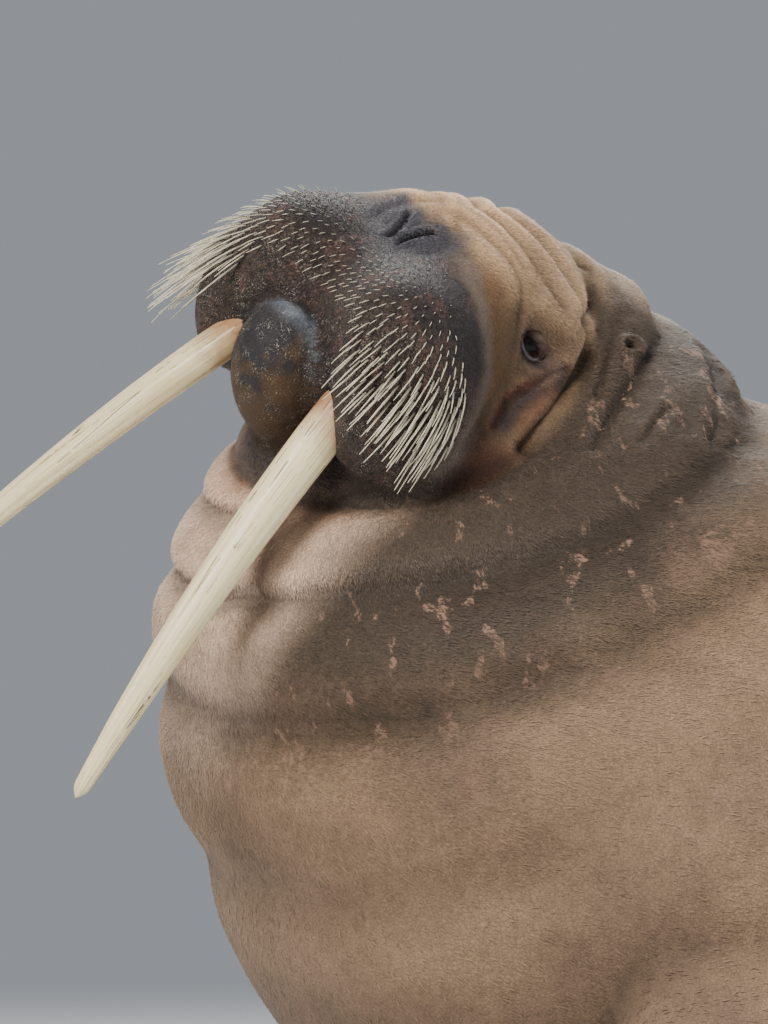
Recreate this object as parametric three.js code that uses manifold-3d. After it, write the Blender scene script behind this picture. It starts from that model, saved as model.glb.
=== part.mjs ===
// A walrus bull at rest, life size: belly on the floor, forequarters raised a little, the head lifted,
// turned to its left, tipped up and leaning over.
// Millimetres, +Z up. The body lies along Y: -Y is the way it faces, +Y its tail, +X its left side.
// The origin is the middle of the floor rectangle that the whole animal covers.
import * as THREE from "three";
import { mergeVertices } from "three/addons/utils/BufferGeometryUtils.js";
import Module from "manifold-3d";

const wasm = await Module();
wasm.setup();
const { Manifold, Mesh } = wasm;

// Driving dimensions
const gap = 0.3; // between neighbouring nodes
const headHeight = 870; // middle of the eyes above the floor
const headSide = 60; // middle of the eyes to the left of the body's midplane
const headTurn = 36.2; // degrees to its left
const headTip = 27.1; // degrees, nose up
const headLean = 34; // degrees, left cheek down

// The trunk's sections, from inside the head to the tail root. top and bottom are [y, z] on the midplane,
// y counted from the eyes; side is the half width; shift is how far the section's middle lies to the left.
const trunk = [
  { top: [36, 890], bottom: [-160, 810], side: 50, shift: 56 },
  { top: [92, 916], bottom: [-206, 762], side: 80, shift: 34 },
  { top: [182, 892], bottom: [-248, 682], side: 140, shift: 0 },
  { top: [318, 776], bottom: [-282, 560], side: 240, shift: 0 },
  { top: [455, 712], bottom: [-238, 350], side: 330, shift: 0 },
  { top: [590, 676], bottom: [-62, 96], side: 385, shift: 0 },
  { top: [800, 650], bottom: [440, -14], side: 420, shift: 0 },
  { top: [1060, 628], bottom: [900, -20], side: 432, shift: 0 },
  { top: [1390, 572], bottom: [1310, -22], side: 420, shift: 0 },
  { top: [1700, 486], bottom: [1680, -18], side: 366, shift: 0 },
  { top: [1940, 388], bottom: [1940, -6], side: 282, shift: 0 },
  { top: [2120, 286], bottom: [2128, 22], side: 178, shift: 0 },
  { top: [2236, 200], bottom: [2244, 50], side: 86, shift: 0 },
  { top: [2310, 130], bottom: [2312, 72], side: 36, shift: 0 },
];
const trunkFullness = 2.25; // exponent of the section's rounded outline
const trunkSegments = 32;
const domeRings = 6; // inside the head
const bodyRings = 18; // from the chest to the tail's end
const domeSection = 1.7; // the neck is closed towards the head by a dome from here
const domeLean = 0.3; // of the dome's top to the left
const farthest = { dome: 330, trunk: 640, head: 330 }; // the skin's greatest distance from its middle

// Where the trunk is parted, in sections counted from the first
const cuts = { neck: 3.4, chest: 6.2, waist: 8.6, tail: 11.2 };

// Creases round the neck: the trunk section where each crosses the midline, how many sections further back
// it lies on the animal's left, and its depth and width
const folds = [
  { at: 2.2, slant: 0.4, depth: 10, width: 0.12 },
  { at: 2.8, slant: 0.42, depth: 13, width: 0.13 },
  { at: 3.45, slant: 0.36, depth: 14, width: 0.14 },
  { at: 4.2, slant: 0.24, depth: 11, width: 0.16 },
];
const foldLip = 1.1; // of a crease's width, from its bottom to its lips
const chestMarks = [4.75, 5.2, 5.7]; // further rings of the skin before the chest's end
const chestSlant = 0.1;

// In the head's own frame: the head's share of the body, with the crease behind the eyes at its edge
const headReach = { at: [80, 0, -60], radii: [180, 197, 216] };
const headCrease = { depth: 8, width: 0.07 };

// The head's own frame: x to the nose, y to its left, z to the crown, from the middle of the eyes.
const headForms = {
  cranium: { at: [-50, 0, 0], radii: [160, 108, 98] },
  bridge: { at: [66, 0, -6], radii: [73, 84, 63] },
  muzzle: { at: [92, 0, -84], radii: [86, 112, 80] },
  nose: { at: [97, 0, -22], radii: [38, 46, 32] },
  jaw: { at: [40, 0, -150], radii: [112, 86, 80] },
};
const cheekForm = { at: [2, 62, -92], radii: [112, 70, 84] };
const browForm = { at: [-14, 82, 26], radii: [44, 30, 28] };
const padForm = { at: [115, 76, -88], radii: [84, 72, 76] };
const padLowForm = { at: [92, 114, -148], radii: [74, 50, 66] };
const padReach = { at: [109, 84, -118], radii: [98, 93, 106] }; // the pad node's share of the muzzle
const faceForm = { at: [60, 57, -30], radii: [80, 52, 60] };
const lipForm = { at: [136, 0, -182], radii: [78, 50, 50], tip: 32.5 }; // tipped up towards its front
const shoulderForm = { at: [262, 250, 330], radii: [150, 230, 210] };
const hipForm = { at: [190, 1850, 150], radii: [150, 230, 150] };
const blend = { head: 30, nose: 14, pads: 50, muzzle: 32, neck: 26, limb: 70 };
const headStart = [34, 0, -72]; // the point its skin is measured from
const headDetail = 9; // divisions of each of its triangles' edges
const padDetail = 4;
const jawDetail = 4;
const reachDetail = 4;

const eyeForm = { at: [5, 88, -3], radius: 19.5, look: [0.46, 0.89, 0.02], across: 14, down: 8 };
// Lids: half length and half height of their ring, their thickness, and how far they stand off the ball
const lid = { long: 16.5, high: 12.4, thick: 4.2, thin: 0.7, out: 3, slant: 14, across: 16, round: 5 };
const nostril = { at: [139, 12, -3], radii: [15, 4, 17], lean: 24, turn: 14, across: 10, down: 8 };
const ear = {
  from: [-30, 0, 20],
  heading: [-0.37, 0.87, 0.34],
  rim: [12, 8],
  thick: [4.6, 1.4],
  lift: [4, 3],
  pit: [11, 6, 12],
  across: 12,
  round: 5,
};

// Tusks, in the head's frame: they leave the lip at root and spread, and curve back a little
const tusk = {
  root: [130, 79, -181],
  start: [0.14, 0.2, -1],
  end: [-0.1, 0.19, -1],
  sunk: 48,
  length: 440,
  radii: [21.5, 22, 20.6, 18.2, 15.4, 11.8, 7],
  flatness: 0.82,
  roll: -50, // degrees from fore and aft, out to the side, of the oval's long way
  crowding: 1.5, // of its rings towards the tip
  point: 5, // of the tip beyond the last ring
  steps: 12,
  segments: 14,
  rings: 15,
};

// Whiskers: rows across each pad, from the nose down to the lip. Each grows out of the skin, bending down.
const whiskers = {
  rows: 10,
  top: -26,
  bottom: -164,
  axis: [104, 74],
  inner: [-8, -6, 8, 30, 44], // degrees round the pad from straight ahead, at five heights
  outer: 118,
  offset: 6, // between neighbouring rows
  spacing: 19,
  lengths: [11, 16, 24, 44, 62],
  lay: [0.3, 0.7, 1, 1.2, 1.2], // how far down each points for its length outwards
  bend: 0.16,
  radius: 1.6,
  taper: -0.35,
  sunk: 9,
  clearance: 2.2, // from the skin, twice that from the tusk and more from the lips
  midline: 3,
  spread: 5, // degrees, of its heading at random
  tilt: 0.1, // of its heading up or down at random
  leaning: [0.12, 0.05], // ahead and outwards
};
const nails = {
  length: 25,
  radius: 5.5,
  sides: 4,
  set: 0.8, // share of the flipper's line where they stand
  reach: 0.86, // of the half width, to the outer ones
  rise: 0.25,
  bend: 0.12,
  sunk: [9, 4],
};

// Flippers: a centre line with the half width, half thickness and twist at each station
const foreFlipper = {
  line: [
    [280, 170, 250],
    [384, 132, 150],
    [474, 132, 80],
    [552, 196, 44],
    [604, 290, 28],
    [630, 380, 18],
  ],
  wrist: 2.1, // stations from the shoulder
  width: [112, 118, 120, 124, 118, 66],
  depth: [92, 74, 52, 36, 25, 11],
  digits: 5,
  ridge: 0.2,
};
const hindFlipper = {
  line: [
    [120, 2010, 118],
    [190, 2140, 74],
    [236, 2262, 46],
    [262, 2390, 32],
    [280, 2520, 22],
    [292, 2640, 14],
  ],
  width: [62, 70, 78, 108, 146, 150],
  depth: [66, 50, 36, 26, 18, 8],
  digits: 5,
  ridge: 0.24,
};
const flipperRings = 11;
const flipperSegments = 24;

const colours = {
  skin: 0x8f7d66,
  pad: 0x5d5050,
  jaw: 0x3e3a3a,
  neck: 0x8a7862,
  ivory: 0xd9cba6,
  eye: 0x2a1d18,
  flipper: 0x6d6053,
};

const radians = THREE.MathUtils.degToRad;
const vector = (point) => new THREE.Vector3(...point);
const mirrored = (point) => [point[0], -point[1], point[2]];

// The head's place on the body
const turn = radians(headTurn);
const tip = radians(headTip);
const lean = radians(headLean);
const ahead = new THREE.Vector3(Math.sin(turn), -Math.cos(turn), 0).multiplyScalar(Math.cos(tip));
ahead.z = Math.sin(tip);
const levelLeft = new THREE.Vector3(Math.cos(turn), Math.sin(turn), 0);
const levelUp = ahead.clone().cross(levelLeft);
const leftward = levelLeft.clone().multiplyScalar(Math.cos(lean)).addScaledVector(levelUp, -Math.sin(lean));
const upward = ahead.clone().cross(leftward);
const headPlace = new THREE.Matrix4()
  .makeBasis(ahead, leftward, upward)
  .setPosition(headSide, 0, headHeight);
const headInverse = headPlace.clone().invert();

// Fields: negative inside a form, growing outwards about a millimetre for each millimetre
function ellipsoid(point, form) {
  const x = (point.x - form.at[0]) / form.radii[0];
  const y = (point.y - form.at[1]) / form.radii[1];
  const z = (point.z - form.at[2]) / form.radii[2];
  const level = Math.hypot(x, y, z);
  const slope = Math.hypot(x / form.radii[0], y / form.radii[1], z / form.radii[2]);
  return slope > 0 ? (level * (level - 1)) / slope : -Math.min(...form.radii);
}

function join(first, second, width) {
  const mixed = Math.max(width - Math.abs(first - second), 0) / width;
  return Math.min(first, second) - mixed * mixed * width * 0.25;
}

function bothSides(point, form) {
  const side = new THREE.Vector3(point.x, Math.abs(point.y), point.z);
  return ellipsoid(side, form);
}

// A table of thin slices along the trunk, each with its plane and size
const slices = [];
{
  const curve = (pick) => new THREE.CatmullRomCurve3(trunk.map((row) => vector(pick(row))));
  const tops = curve((row) => [row.shift, ...row.top]);
  const bottoms = curve((row) => [row.side, ...row.bottom]);
  const count = 240;
  for (let i = 0; i <= count; i++) {
    const high = tops.getPoint(i / count);
    const low = bottoms.getPoint(i / count);
    slices.push({ shift: high.x, side: low.x, top: [high.y, high.z], bottom: [low.y, low.z] });
  }
}

function sliceAt(share) {
  const place = THREE.MathUtils.clamp(share, 0, 1) * (slices.length - 1);
  const before = slices[Math.floor(place)];
  const after = slices[Math.min(Math.floor(place) + 1, slices.length - 1)];
  const rest = place - Math.floor(place);
  const mix = (a, b) => a + (b - a) * rest;
  const top = [mix(before.top[0], after.top[0]), mix(before.top[1], after.top[1])];
  const bottom = [mix(before.bottom[0], after.bottom[0]), mix(before.bottom[1], after.bottom[1])];
  const half = Math.hypot(top[0] - bottom[0], top[1] - bottom[1]) / 2;
  const shift = mix(before.shift, after.shift);
  return {
    centre: new THREE.Vector3(shift, (top[0] + bottom[0]) / 2, (top[1] + bottom[1]) / 2),
    up: new THREE.Vector3(0, (top[0] - bottom[0]) / (2 * half), (top[1] - bottom[1]) / (2 * half)),
    half,
    side: mix(before.side, after.side),
  };
}

// How far a point lies towards the tail from a slice's plane
function behind(point, slice) {
  const y = point.y - slice.centre.y;
  const z = point.z - slice.centre.z;
  return y * slice.up.z - z * slice.up.y;
}

function trunkField(point) {
  let low = 0;
  let high = 1;
  for (let i = 0; i < 12; i++) {
    const middle = (low + high) / 2;
    if (behind(point, sliceAt(middle)) > 0) low = middle;
    else high = middle;
  }
  const slice = sliceAt(low);
  const across = Math.abs(point.x - slice.centre.x) / slice.side;
  const rise = (point.y - slice.centre.y) * slice.up.y + (point.z - slice.centre.z) * slice.up.z;
  const along = Math.abs(rise) / slice.half;
  const level = (across ** trunkFullness + along ** trunkFullness) ** (1 / trunkFullness);
  const ends = Math.max(Math.abs(behind(point, slice)) - 4, 0);
  const sideways = (point.x - slice.centre.x) / Math.hypot(point.x - slice.centre.x, rise, 1);
  let crease = 0;
  for (const fold of folds) {
    const off = low * (trunk.length - 1) - fold.slant * sideways - fold.at;
    crease += fold.depth * Math.exp(-((off / fold.width) ** 2));
  }
  return (level - 1) * Math.min(slice.side, slice.half) + ends + crease;
}

function headField(point) {
  let value = ellipsoid(point, headForms.cranium);
  value = join(value, ellipsoid(point, headForms.bridge), blend.head);
  value = join(value, ellipsoid(point, headForms.muzzle), blend.head);
  value = join(value, ellipsoid(point, headForms.jaw), blend.head);
  value = join(value, bothSides(point, cheekForm), blend.head);
  value = join(value, bothSides(point, browForm), blend.head);
  value = join(value, bothSides(point, faceForm), blend.head);
  value = join(value, ellipsoid(point, headForms.nose), blend.nose);
  const pads = join(bothSides(point, padForm), bothSides(point, padLowForm), blend.pads);
  return join(value, pads, blend.muzzle);
}

function creaseBehindEyes(inHead) {
  const x = (inHead.x - headReach.at[0]) / headReach.radii[0];
  const y = (inHead.y - headReach.at[1]) / headReach.radii[1];
  const z = (inHead.z - headReach.at[2]) / headReach.radii[2];
  return headCrease.depth * Math.exp(-(((Math.hypot(x, y, z) - 1) / headCrease.width) ** 2));
}

const scratch = new THREE.Vector3();
function bodyField(point) {
  const inHead = headField(scratch.copy(point).applyMatrix4(headInverse));
  let value = join(trunkField(point), inHead, blend.neck);
  const side = new THREE.Vector3(Math.abs(point.x), point.y, point.z);
  value = join(value, ellipsoid(side, shoulderForm), blend.limb);
  value = join(value, ellipsoid(side, hipForm), blend.limb);
  return value + creaseBehindEyes(scratch);
}

// The distance from start, along a direction, to where a field leaves the form
function reach(field, start, direction, far, step = 9) {
  const probe = new THREE.Vector3();
  const at = (distance) => field(probe.copy(direction).multiplyScalar(distance).add(start));
  let inner = 0;
  let outer = far;
  for (let distance = step; distance < far; distance += step) {
    if (at(distance) > 0) {
      outer = distance;
      break;
    }
    inner = distance;
  }
  for (let i = 0; i < 12; i++) {
    const middle = (inner + outer) / 2;
    if (at(middle) > 0) outer = middle;
    else inner = middle;
  }
  return inner;
}

// A ball whose points are moved out from start onto a field
function wrapped(field, start, detail, far) {
  const ball = new THREE.IcosahedronGeometry(1, detail);
  ball.deleteAttribute("normal");
  ball.deleteAttribute("uv");
  const shape = mergeVertices(ball, 1e-4);
  const place = shape.attributes.position;
  const direction = new THREE.Vector3();
  for (let i = 0; i < place.count; i++) {
    direction.fromBufferAttribute(place, i).normalize();
    const distance = reach(field, start, direction, far);
    direction.multiplyScalar(distance).add(start);
    place.setXYZ(i, direction.x, direction.y, direction.z);
  }
  return shape;
}

// A closed tube-like skin: place(share, angle) gives its points, share 0 and 1 being its two poles
function skinned(segments, rings, place) {
  const ball = new THREE.SphereGeometry(1, segments, rings);
  const spot = ball.attributes.position;
  const columns = segments + 1;
  for (let i = 0; i < spot.count; i++) {
    const ring = Math.floor(i / columns);
    const column = (i % columns) % segments;
    const point = place(ring / rings, (column / segments) * Math.PI * 2);
    spot.setXYZ(i, point.x, point.y, point.z);
  }
  ball.deleteAttribute("normal");
  ball.deleteAttribute("uv");
  return mergeVertices(ball, 1e-3);
}

function solid(geometry) {
  const mesh = new Mesh({
    numProp: 3,
    vertProperties: new Float32Array(geometry.attributes.position.array),
    triVerts: new Uint32Array(geometry.index.array),
  });
  const made = new Manifold(mesh);
  if (made.volume() >= 0) return made;
  const triVerts = mesh.triVerts.slice().reverse();
  return new Manifold(new Mesh({ numProp: 3, vertProperties: mesh.vertProperties, triVerts }));
}

function largest(shape) {
  const bodies = shape.decompose();
  return bodies.reduce((best, body) => (body.volume() > best.volume() ? body : best));
}

// The side of a slice's plane that lies towards the tail (or the head), half a gap away from it
function towardsTail(shape, section) {
  const slice = sliceAt(section / (trunk.length - 1));
  const normal = [0, slice.up.z, -slice.up.y];
  const offset = slice.centre.y * slice.up.z - slice.centre.z * slice.up.y;
  return shape.trimByPlane(normal, offset + gap / 2);
}
function towardsHead(shape, section) {
  const slice = sliceAt(section / (trunk.length - 1));
  const normal = [0, -slice.up.z, slice.up.y];
  const offset = slice.centre.y * slice.up.z - slice.centre.z * slice.up.y;
  return shape.trimByPlane(normal, -offset + gap / 2);
}

const floorCut = (shape) => shape.trimByPlane([0, 0, 1], 0);

// The rings of the trunk's skin: their sections on the midline and their slants. Every crease has one ring
// in its bottom, one on each lip and one on the roll of skin before it.
const rings = [{ at: domeSection, slant: 0 }];
for (const fold of folds) {
  const before = rings[rings.length - 1];
  rings.push({ at: (before.at + fold.at - fold.width) / 2, slant: (before.slant + fold.slant) / 2 });
  for (const side of [-foldLip, 0, foldLip]) {
    rings.push({ at: fold.at + side * fold.width, slant: fold.slant });
  }
}
for (const mark of chestMarks) rings.push({ at: mark, slant: chestSlant });
for (let i = 0; i <= bodyRings; i++) {
  rings.push({ at: THREE.MathUtils.lerp(cuts.chest, trunk.length - 1, i / bodyRings), slant: 0 });
}

// The trunk from the neck to the tail, grown outwards by extra
function trunkSolid(extra) {
  const field = (point) => bodyField(point) - extra;
  const count = domeRings + rings.length - 1;
  return solid(
    skinned(trunkSegments, count, (share, angle) => {
      const ring = Math.round(share * count) - domeRings;
      const mark = rings[Math.max(ring, 0)];
      const slice = sliceAt((mark.at + mark.slant * Math.sin(angle)) / (trunk.length - 1));
      if (share === 1) return slice.centre;
      const direction = slice.up.clone().multiplyScalar(Math.cos(angle));
      direction.x = Math.sin(angle);
      if (ring < 0) {
        const tilt = (-ring / domeRings) * (Math.PI / 2);
        const headward = new THREE.Vector3(domeLean, -slice.up.z, slice.up.y).normalize();
        direction.multiplyScalar(Math.cos(tilt)).addScaledVector(headward, Math.sin(tilt)).normalize();
      }
      const distance = reach(field, slice.centre, direction, ring < 0 ? farthest.dome : farthest.trunk);
      return direction.multiplyScalar(distance).add(slice.centre);
    }),
  );
}

// The head with its pads, in the head's own frame
const fieldInHead = (extra) => (point) =>
  bodyField(new THREE.Vector3().copy(point).applyMatrix4(headPlace)) - extra;
const headOnly = fieldInHead(0);
const wholeHead = solid(wrapped(headOnly, vector(headStart), headDetail, farthest.head));

function ball(form, extra, detail) {
  const grown = { at: form.at, radii: form.radii.map((radius) => radius + extra) };
  return solid(wrapped((point) => ellipsoid(point, grown), vector(form.at), detail, farthest.head));
}
const mirror = (shape) => shape.mirror([0, 1, 0]);

const padLeftCut = ball(padReach, 0, padDetail);
const padLeftRoom = ball(padReach, gap, padDetail);
const levelLip = { at: [0, 0, 0], radii: lipForm.radii };
const lipBall = (extra) =>
  ball(levelLip, extra, jawDetail).rotate([0, -lipForm.tip, 0]).translate(lipForm.at);
const lip = lipBall(0);
const lipRoom = lipBall(gap);

// The value at a share, from 0 to 1, of the way through a short list
function lookUp(values, share) {
  const spot = THREE.MathUtils.clamp(share, 0, 1) * (values.length - 1);
  const low = Math.min(Math.floor(spot), values.length - 2);
  return THREE.MathUtils.lerp(values[low], values[low + 1], spot - low);
}

function tuskSolid(side, extra) {
  const points = [];
  const along = vector(tusk.start).normalize();
  const finish = vector(tusk.end).normalize();
  const here = vector(tusk.root).addScaledVector(along, -tusk.sunk);
  const whole = tusk.sunk + tusk.length;
  for (let i = 0; i <= tusk.steps; i++) {
    points.push(here.clone());
    here.addScaledVector(along.clone().lerp(finish, i / tusk.steps).normalize(), whole / tusk.steps);
  }
  const line = new THREE.CatmullRomCurve3(points);
  const outward = new THREE.Vector3(0, 1, 0);
  const roll = radians(tusk.roll);
  const shape = skinned(tusk.segments, tusk.rings, (share, angle) => {
    const end = 1 - (1 - share) ** tusk.crowding;
    const centre = line.getPointAt(Math.min(end, 1));
    const tangent = line.getTangentAt(Math.min(end, 1));
    const across = outward.clone().addScaledVector(tangent, -outward.dot(tangent)).normalize();
    const other = tangent.clone().cross(across);
    if (share === 0) return centre.addScaledVector(tangent, -extra);
    if (share === 1) return centre.addScaledVector(tangent, tusk.point + extra);
    const radius = lookUp(tusk.radii, end) + extra;
    const short = Math.cos(angle) * radius * tusk.flatness;
    const broad = Math.sin(angle) * radius;
    return centre
      .addScaledVector(across, short * Math.cos(roll) + broad * Math.sin(roll))
      .addScaledVector(other, broad * Math.cos(roll) - short * Math.sin(roll));
  });
  const made = solid(shape);
  return side > 0 ? made : mirror(made);
}

function eyeSolid(side, extra) {
  const globe = new THREE.SphereGeometry(eyeForm.radius + extra, eyeForm.across, eyeForm.down);
  globe.rotateX(-Math.PI / 2);
  globe.deleteAttribute("normal");
  globe.deleteAttribute("uv");
  const made = solid(mergeVertices(globe, 1e-3)).translate(eyeForm.at);
  return side > 0 ? made : mirror(made);
}

// A bar bent round a closed ring: at(angle) gives the middle line, thick(angle) its half thickness
function ringSolid(across, round, at, thick) {
  const torus = new THREE.TorusGeometry(1, 0.5, round, across);
  const spot = torus.attributes.position;
  const before = new THREE.Vector3();
  const columns = across + 1;
  for (let i = 0; i < spot.count; i++) {
    const turnAbout = ((Math.floor(i / columns) % round) / round) * Math.PI * 2;
    const angle = (((i % columns) % across) / across) * Math.PI * 2;
    const centre = at(angle);
    const tangent = at(angle + 0.01).sub(before.copy(at(angle - 0.01))).normalize();
    const out = centre.clone().sub(at.middle).normalize();
    const beside = out.clone().cross(tangent).normalize();
    const level = beside.clone().cross(tangent).normalize();
    const radius = thick(angle);
    centre.addScaledVector(beside, Math.cos(turnAbout) * radius);
    centre.addScaledVector(level, Math.sin(turnAbout) * radius);
    spot.setXYZ(i, centre.x, centre.y, centre.z);
  }
  torus.deleteAttribute("normal");
  torus.deleteAttribute("uv");
  return solid(mergeVertices(torus, 1e-3));
}

// The eye's own directions: out of the socket, along the slit and across it
const gaze = vector(eyeForm.look).normalize();
const slit = new THREE.Vector3(Math.cos(radians(lid.slant)), 0, Math.sin(radians(lid.slant)));
slit.addScaledVector(gaze, -slit.dot(gaze)).normalize();
const crossSlit = gaze.clone().cross(slit);

function lidRing() {
  const far = eyeForm.radius + lid.out;
  const at = (angle) => {
    const wide = lid.long * Math.cos(angle);
    const tall = lid.high * Math.sin(angle);
    const out = Math.sqrt(far * far - wide * wide - tall * tall);
    const point = vector(eyeForm.at).addScaledVector(gaze, out);
    return point.addScaledVector(slit, wide).addScaledVector(crossSlit, tall);
  };
  at.middle = vector(eyeForm.at);
  const thick = (angle) => lid.thick * THREE.MathUtils.lerp(lid.thin, 1, Math.abs(Math.sin(angle)));
  return ringSolid(lid.across, lid.round, at, thick);
}
function lidOpening() {
  const hole = new THREE.SphereGeometry(1, lid.across, lid.round);
  hole.scale(lid.long, lid.high, eyeForm.radius);
  hole.applyMatrix4(new THREE.Matrix4().makeBasis(slit, crossSlit, slit.clone().cross(crossSlit)));
  hole.deleteAttribute("normal");
  hole.deleteAttribute("uv");
  const middle = vector(eyeForm.at).addScaledVector(gaze, eyeForm.radius);
  return solid(mergeVertices(hole, 1e-3)).translate(middle.toArray());
}

// A nostril: a slit that curves up and outwards
function nostrilSolid() {
  const hole = new THREE.SphereGeometry(1, nostril.across, nostril.down);
  hole.scale(...nostril.radii);
  hole.rotateX(-radians(nostril.lean));
  hole.rotateZ(radians(nostril.turn));
  hole.deleteAttribute("normal");
  hole.deleteAttribute("uv");
  return solid(mergeVertices(hole, 1e-3)).translate(nostril.at);
}

const tusks = [tuskSolid(1, 0), tuskSolid(-1, 0)];
const tuskRooms = [tuskSolid(1, gap), tuskSolid(-1, gap)];
const eyes = [eyeSolid(1, 0), eyeSolid(-1, 0)];
const eyeRooms = [eyeSolid(1, gap), eyeSolid(-1, gap)];

const openings = [lidOpening(), nostrilSolid()];
let head = wholeHead.subtract(padLeftRoom).subtract(mirror(padLeftRoom));
head = head.subtract(lipRoom);
for (const hole of openings) head = head.subtract(hole).subtract(mirror(hole));
head = head.add(lidRing()).add(mirror(lidRing()));
for (const room of [...tuskRooms, ...eyeRooms]) head = head.subtract(room);
let padLeft = wholeHead.intersect(padLeftCut).trimByPlane([0, 1, 0], gap / 2);
let padRight = wholeHead.intersect(mirror(padLeftCut)).trimByPlane([0, -1, 0], gap / 2);
padLeft = padLeft.subtract(lipRoom).subtract(tuskRooms[0]);
padRight = padRight.subtract(lipRoom).subtract(tuskRooms[1]);
const jaw = tuskRooms.reduce((shape, room) => shape.subtract(room), lip);

// A tapered spike from its flat root, bent towards fall
function spike(root, direction, fall, length, radius, sides, steps) {
  const rod = new THREE.CylinderGeometry(0, 1, 1, sides, steps);
  rod.deleteAttribute("normal");
  rod.deleteAttribute("uv");
  const shape = mergeVertices(rod, 1e-4);
  const spot = shape.attributes.position;
  const first = new THREE.Vector3(0, 0, 1);
  if (Math.abs(direction.z) > 0.8) first.set(1, 0, 0);
  const across = first.cross(direction).normalize();
  const other = direction.clone().cross(across);
  for (let i = 0; i < spot.count; i++) {
    const share = spot.getY(i) + 0.5;
    const wide = share < 0.99 ? radius * (1 - share) ** whiskers.taper : 0;
    const point = root.clone().addScaledVector(direction, length * share);
    point.addScaledVector(fall, length * share * share);
    point.addScaledVector(across, spot.getX(i) * wide).addScaledVector(other, spot.getZ(i) * wide);
    spot.setXYZ(i, point.x, point.y, point.z);
  }
  return solid(shape);
}

// Repeatable random numbers from 0 to 1
function draws(seed) {
  let state = seed;
  return () => {
    state = (state * 1664525 + 1013904223) % 4294967296;
    return state / 4294967296;
  };
}

function tuskDistance(point) {
  const start = vector(tusk.root).addScaledVector(vector(tusk.start).normalize(), -tusk.sunk);
  const finish = start.clone().addScaledVector(vector(tusk.start).normalize(), 240);
  const nearest = new THREE.Line3(start, finish).closestPointToPoint(point, true, new THREE.Vector3());
  return nearest.distanceTo(point) - tusk.radii[1];
}

const lipMiddle = vector(lipForm.at);
const lipHinge = new THREE.Vector3(0, 1, 0);
function lipField(point) {
  const inLip = point.clone().sub(lipMiddle).applyAxisAngle(lipHinge, radians(lipForm.tip));
  return ellipsoid(inLip, levelLip);
}

// Whether a spike from root stays off the tusk, the lips, the midline and the skin it grew out of
function isClear(root, direction, fall, length) {
  for (const step of [0.15, 0.3, 0.5, 0.7, 0.85, 1]) {
    const point = root.clone().addScaledVector(direction, length * step);
    point.addScaledVector(fall, length * step * step);
    if (lipField(point) < whiskers.clearance * 2.5) return false;
    if (tuskDistance(point) < whiskers.clearance * 2) return false;
    const offPad = step > 0.8 || ellipsoid(point, padReach) > -whiskers.clearance;
    if (offPad && headOnly(point) < whiskers.clearance) return false;
    if (point.y < whiskers.midline) return false;
  }
  return true;
}

// One pad's whiskers, for the animal's left side
function whiskerSolids(seed) {
  const next = draws(seed);
  const made = [];
  for (let row = 0; row < whiskers.rows; row++) {
    const share = row / (whiskers.rows - 1);
    const height = THREE.MathUtils.lerp(whiskers.top, whiskers.bottom, share);
    const axis = new THREE.Vector3(whiskers.axis[0], whiskers.axis[1], height);
    const lay = lookUp(whiskers.lay, share);
    let bearing = lookUp(whiskers.inner, share) + (row % 2) * whiskers.offset;
    while (bearing < whiskers.outer) {
      const heading = radians(bearing + (next() - 0.5) * whiskers.spread);
      const outward = new THREE.Vector3(Math.cos(heading), Math.sin(heading), 0);
      outward.setZ((next() - 0.5) * whiskers.tilt).normalize();
      const distance = reach(headOnly, axis, outward, farthest.head, 6);
      bearing += THREE.MathUtils.radToDeg(whiskers.spacing / Math.max(distance, 40));
      const foot = axis.clone().addScaledVector(outward, distance);
      const normal = slopeOf(headOnly, foot);
      const direction = normal.clone().add(new THREE.Vector3(...whiskers.leaning, -lay)).normalize();
      const buried = whiskers.sunk / Math.max(direction.dot(normal), 0.5);
      const length = lookUp(whiskers.lengths, share) * (0.8 + next() * 0.4) + buried;
      const fall = new THREE.Vector3(0, 0, -whiskers.bend);
      const root = foot.clone().addScaledVector(direction, -buried);
      const overEdge = Math.max(ellipsoid(root, padReach), ellipsoid(foot, padReach)) > -whiskers.sunk;
      if (overEdge || root.y < whiskers.sunk) continue;
      if (!isClear(root, direction, fall, length)) continue;
      made.push(spike(root, direction, fall, length, whiskers.radius, 3, 2));
    }
  }
  return made;
}

function slopeOf(field, point) {
  const step = 1.5;
  const probe = new THREE.Vector3();
  const at = (x, y, z) => field(probe.set(point.x + x, point.y + y, point.z + z));
  const slope = new THREE.Vector3(
    at(step, 0, 0) - at(-step, 0, 0),
    at(0, step, 0) - at(0, -step, 0),
    at(0, 0, step) - at(0, 0, -step),
  );
  return slope.normalize();
}

const whiskersLeft = whiskerSolids(11);
const whiskersRight = whiskerSolids(29);
padLeft = Manifold.union([padLeft, ...whiskersLeft]);
padRight = Manifold.union([padRight, ...whiskersRight.map(mirror)]);

const place = (shape) => shape.transform(headPlace.toArray());
head = place(head.intersect(ball(headReach, 0, reachDetail)));

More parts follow.
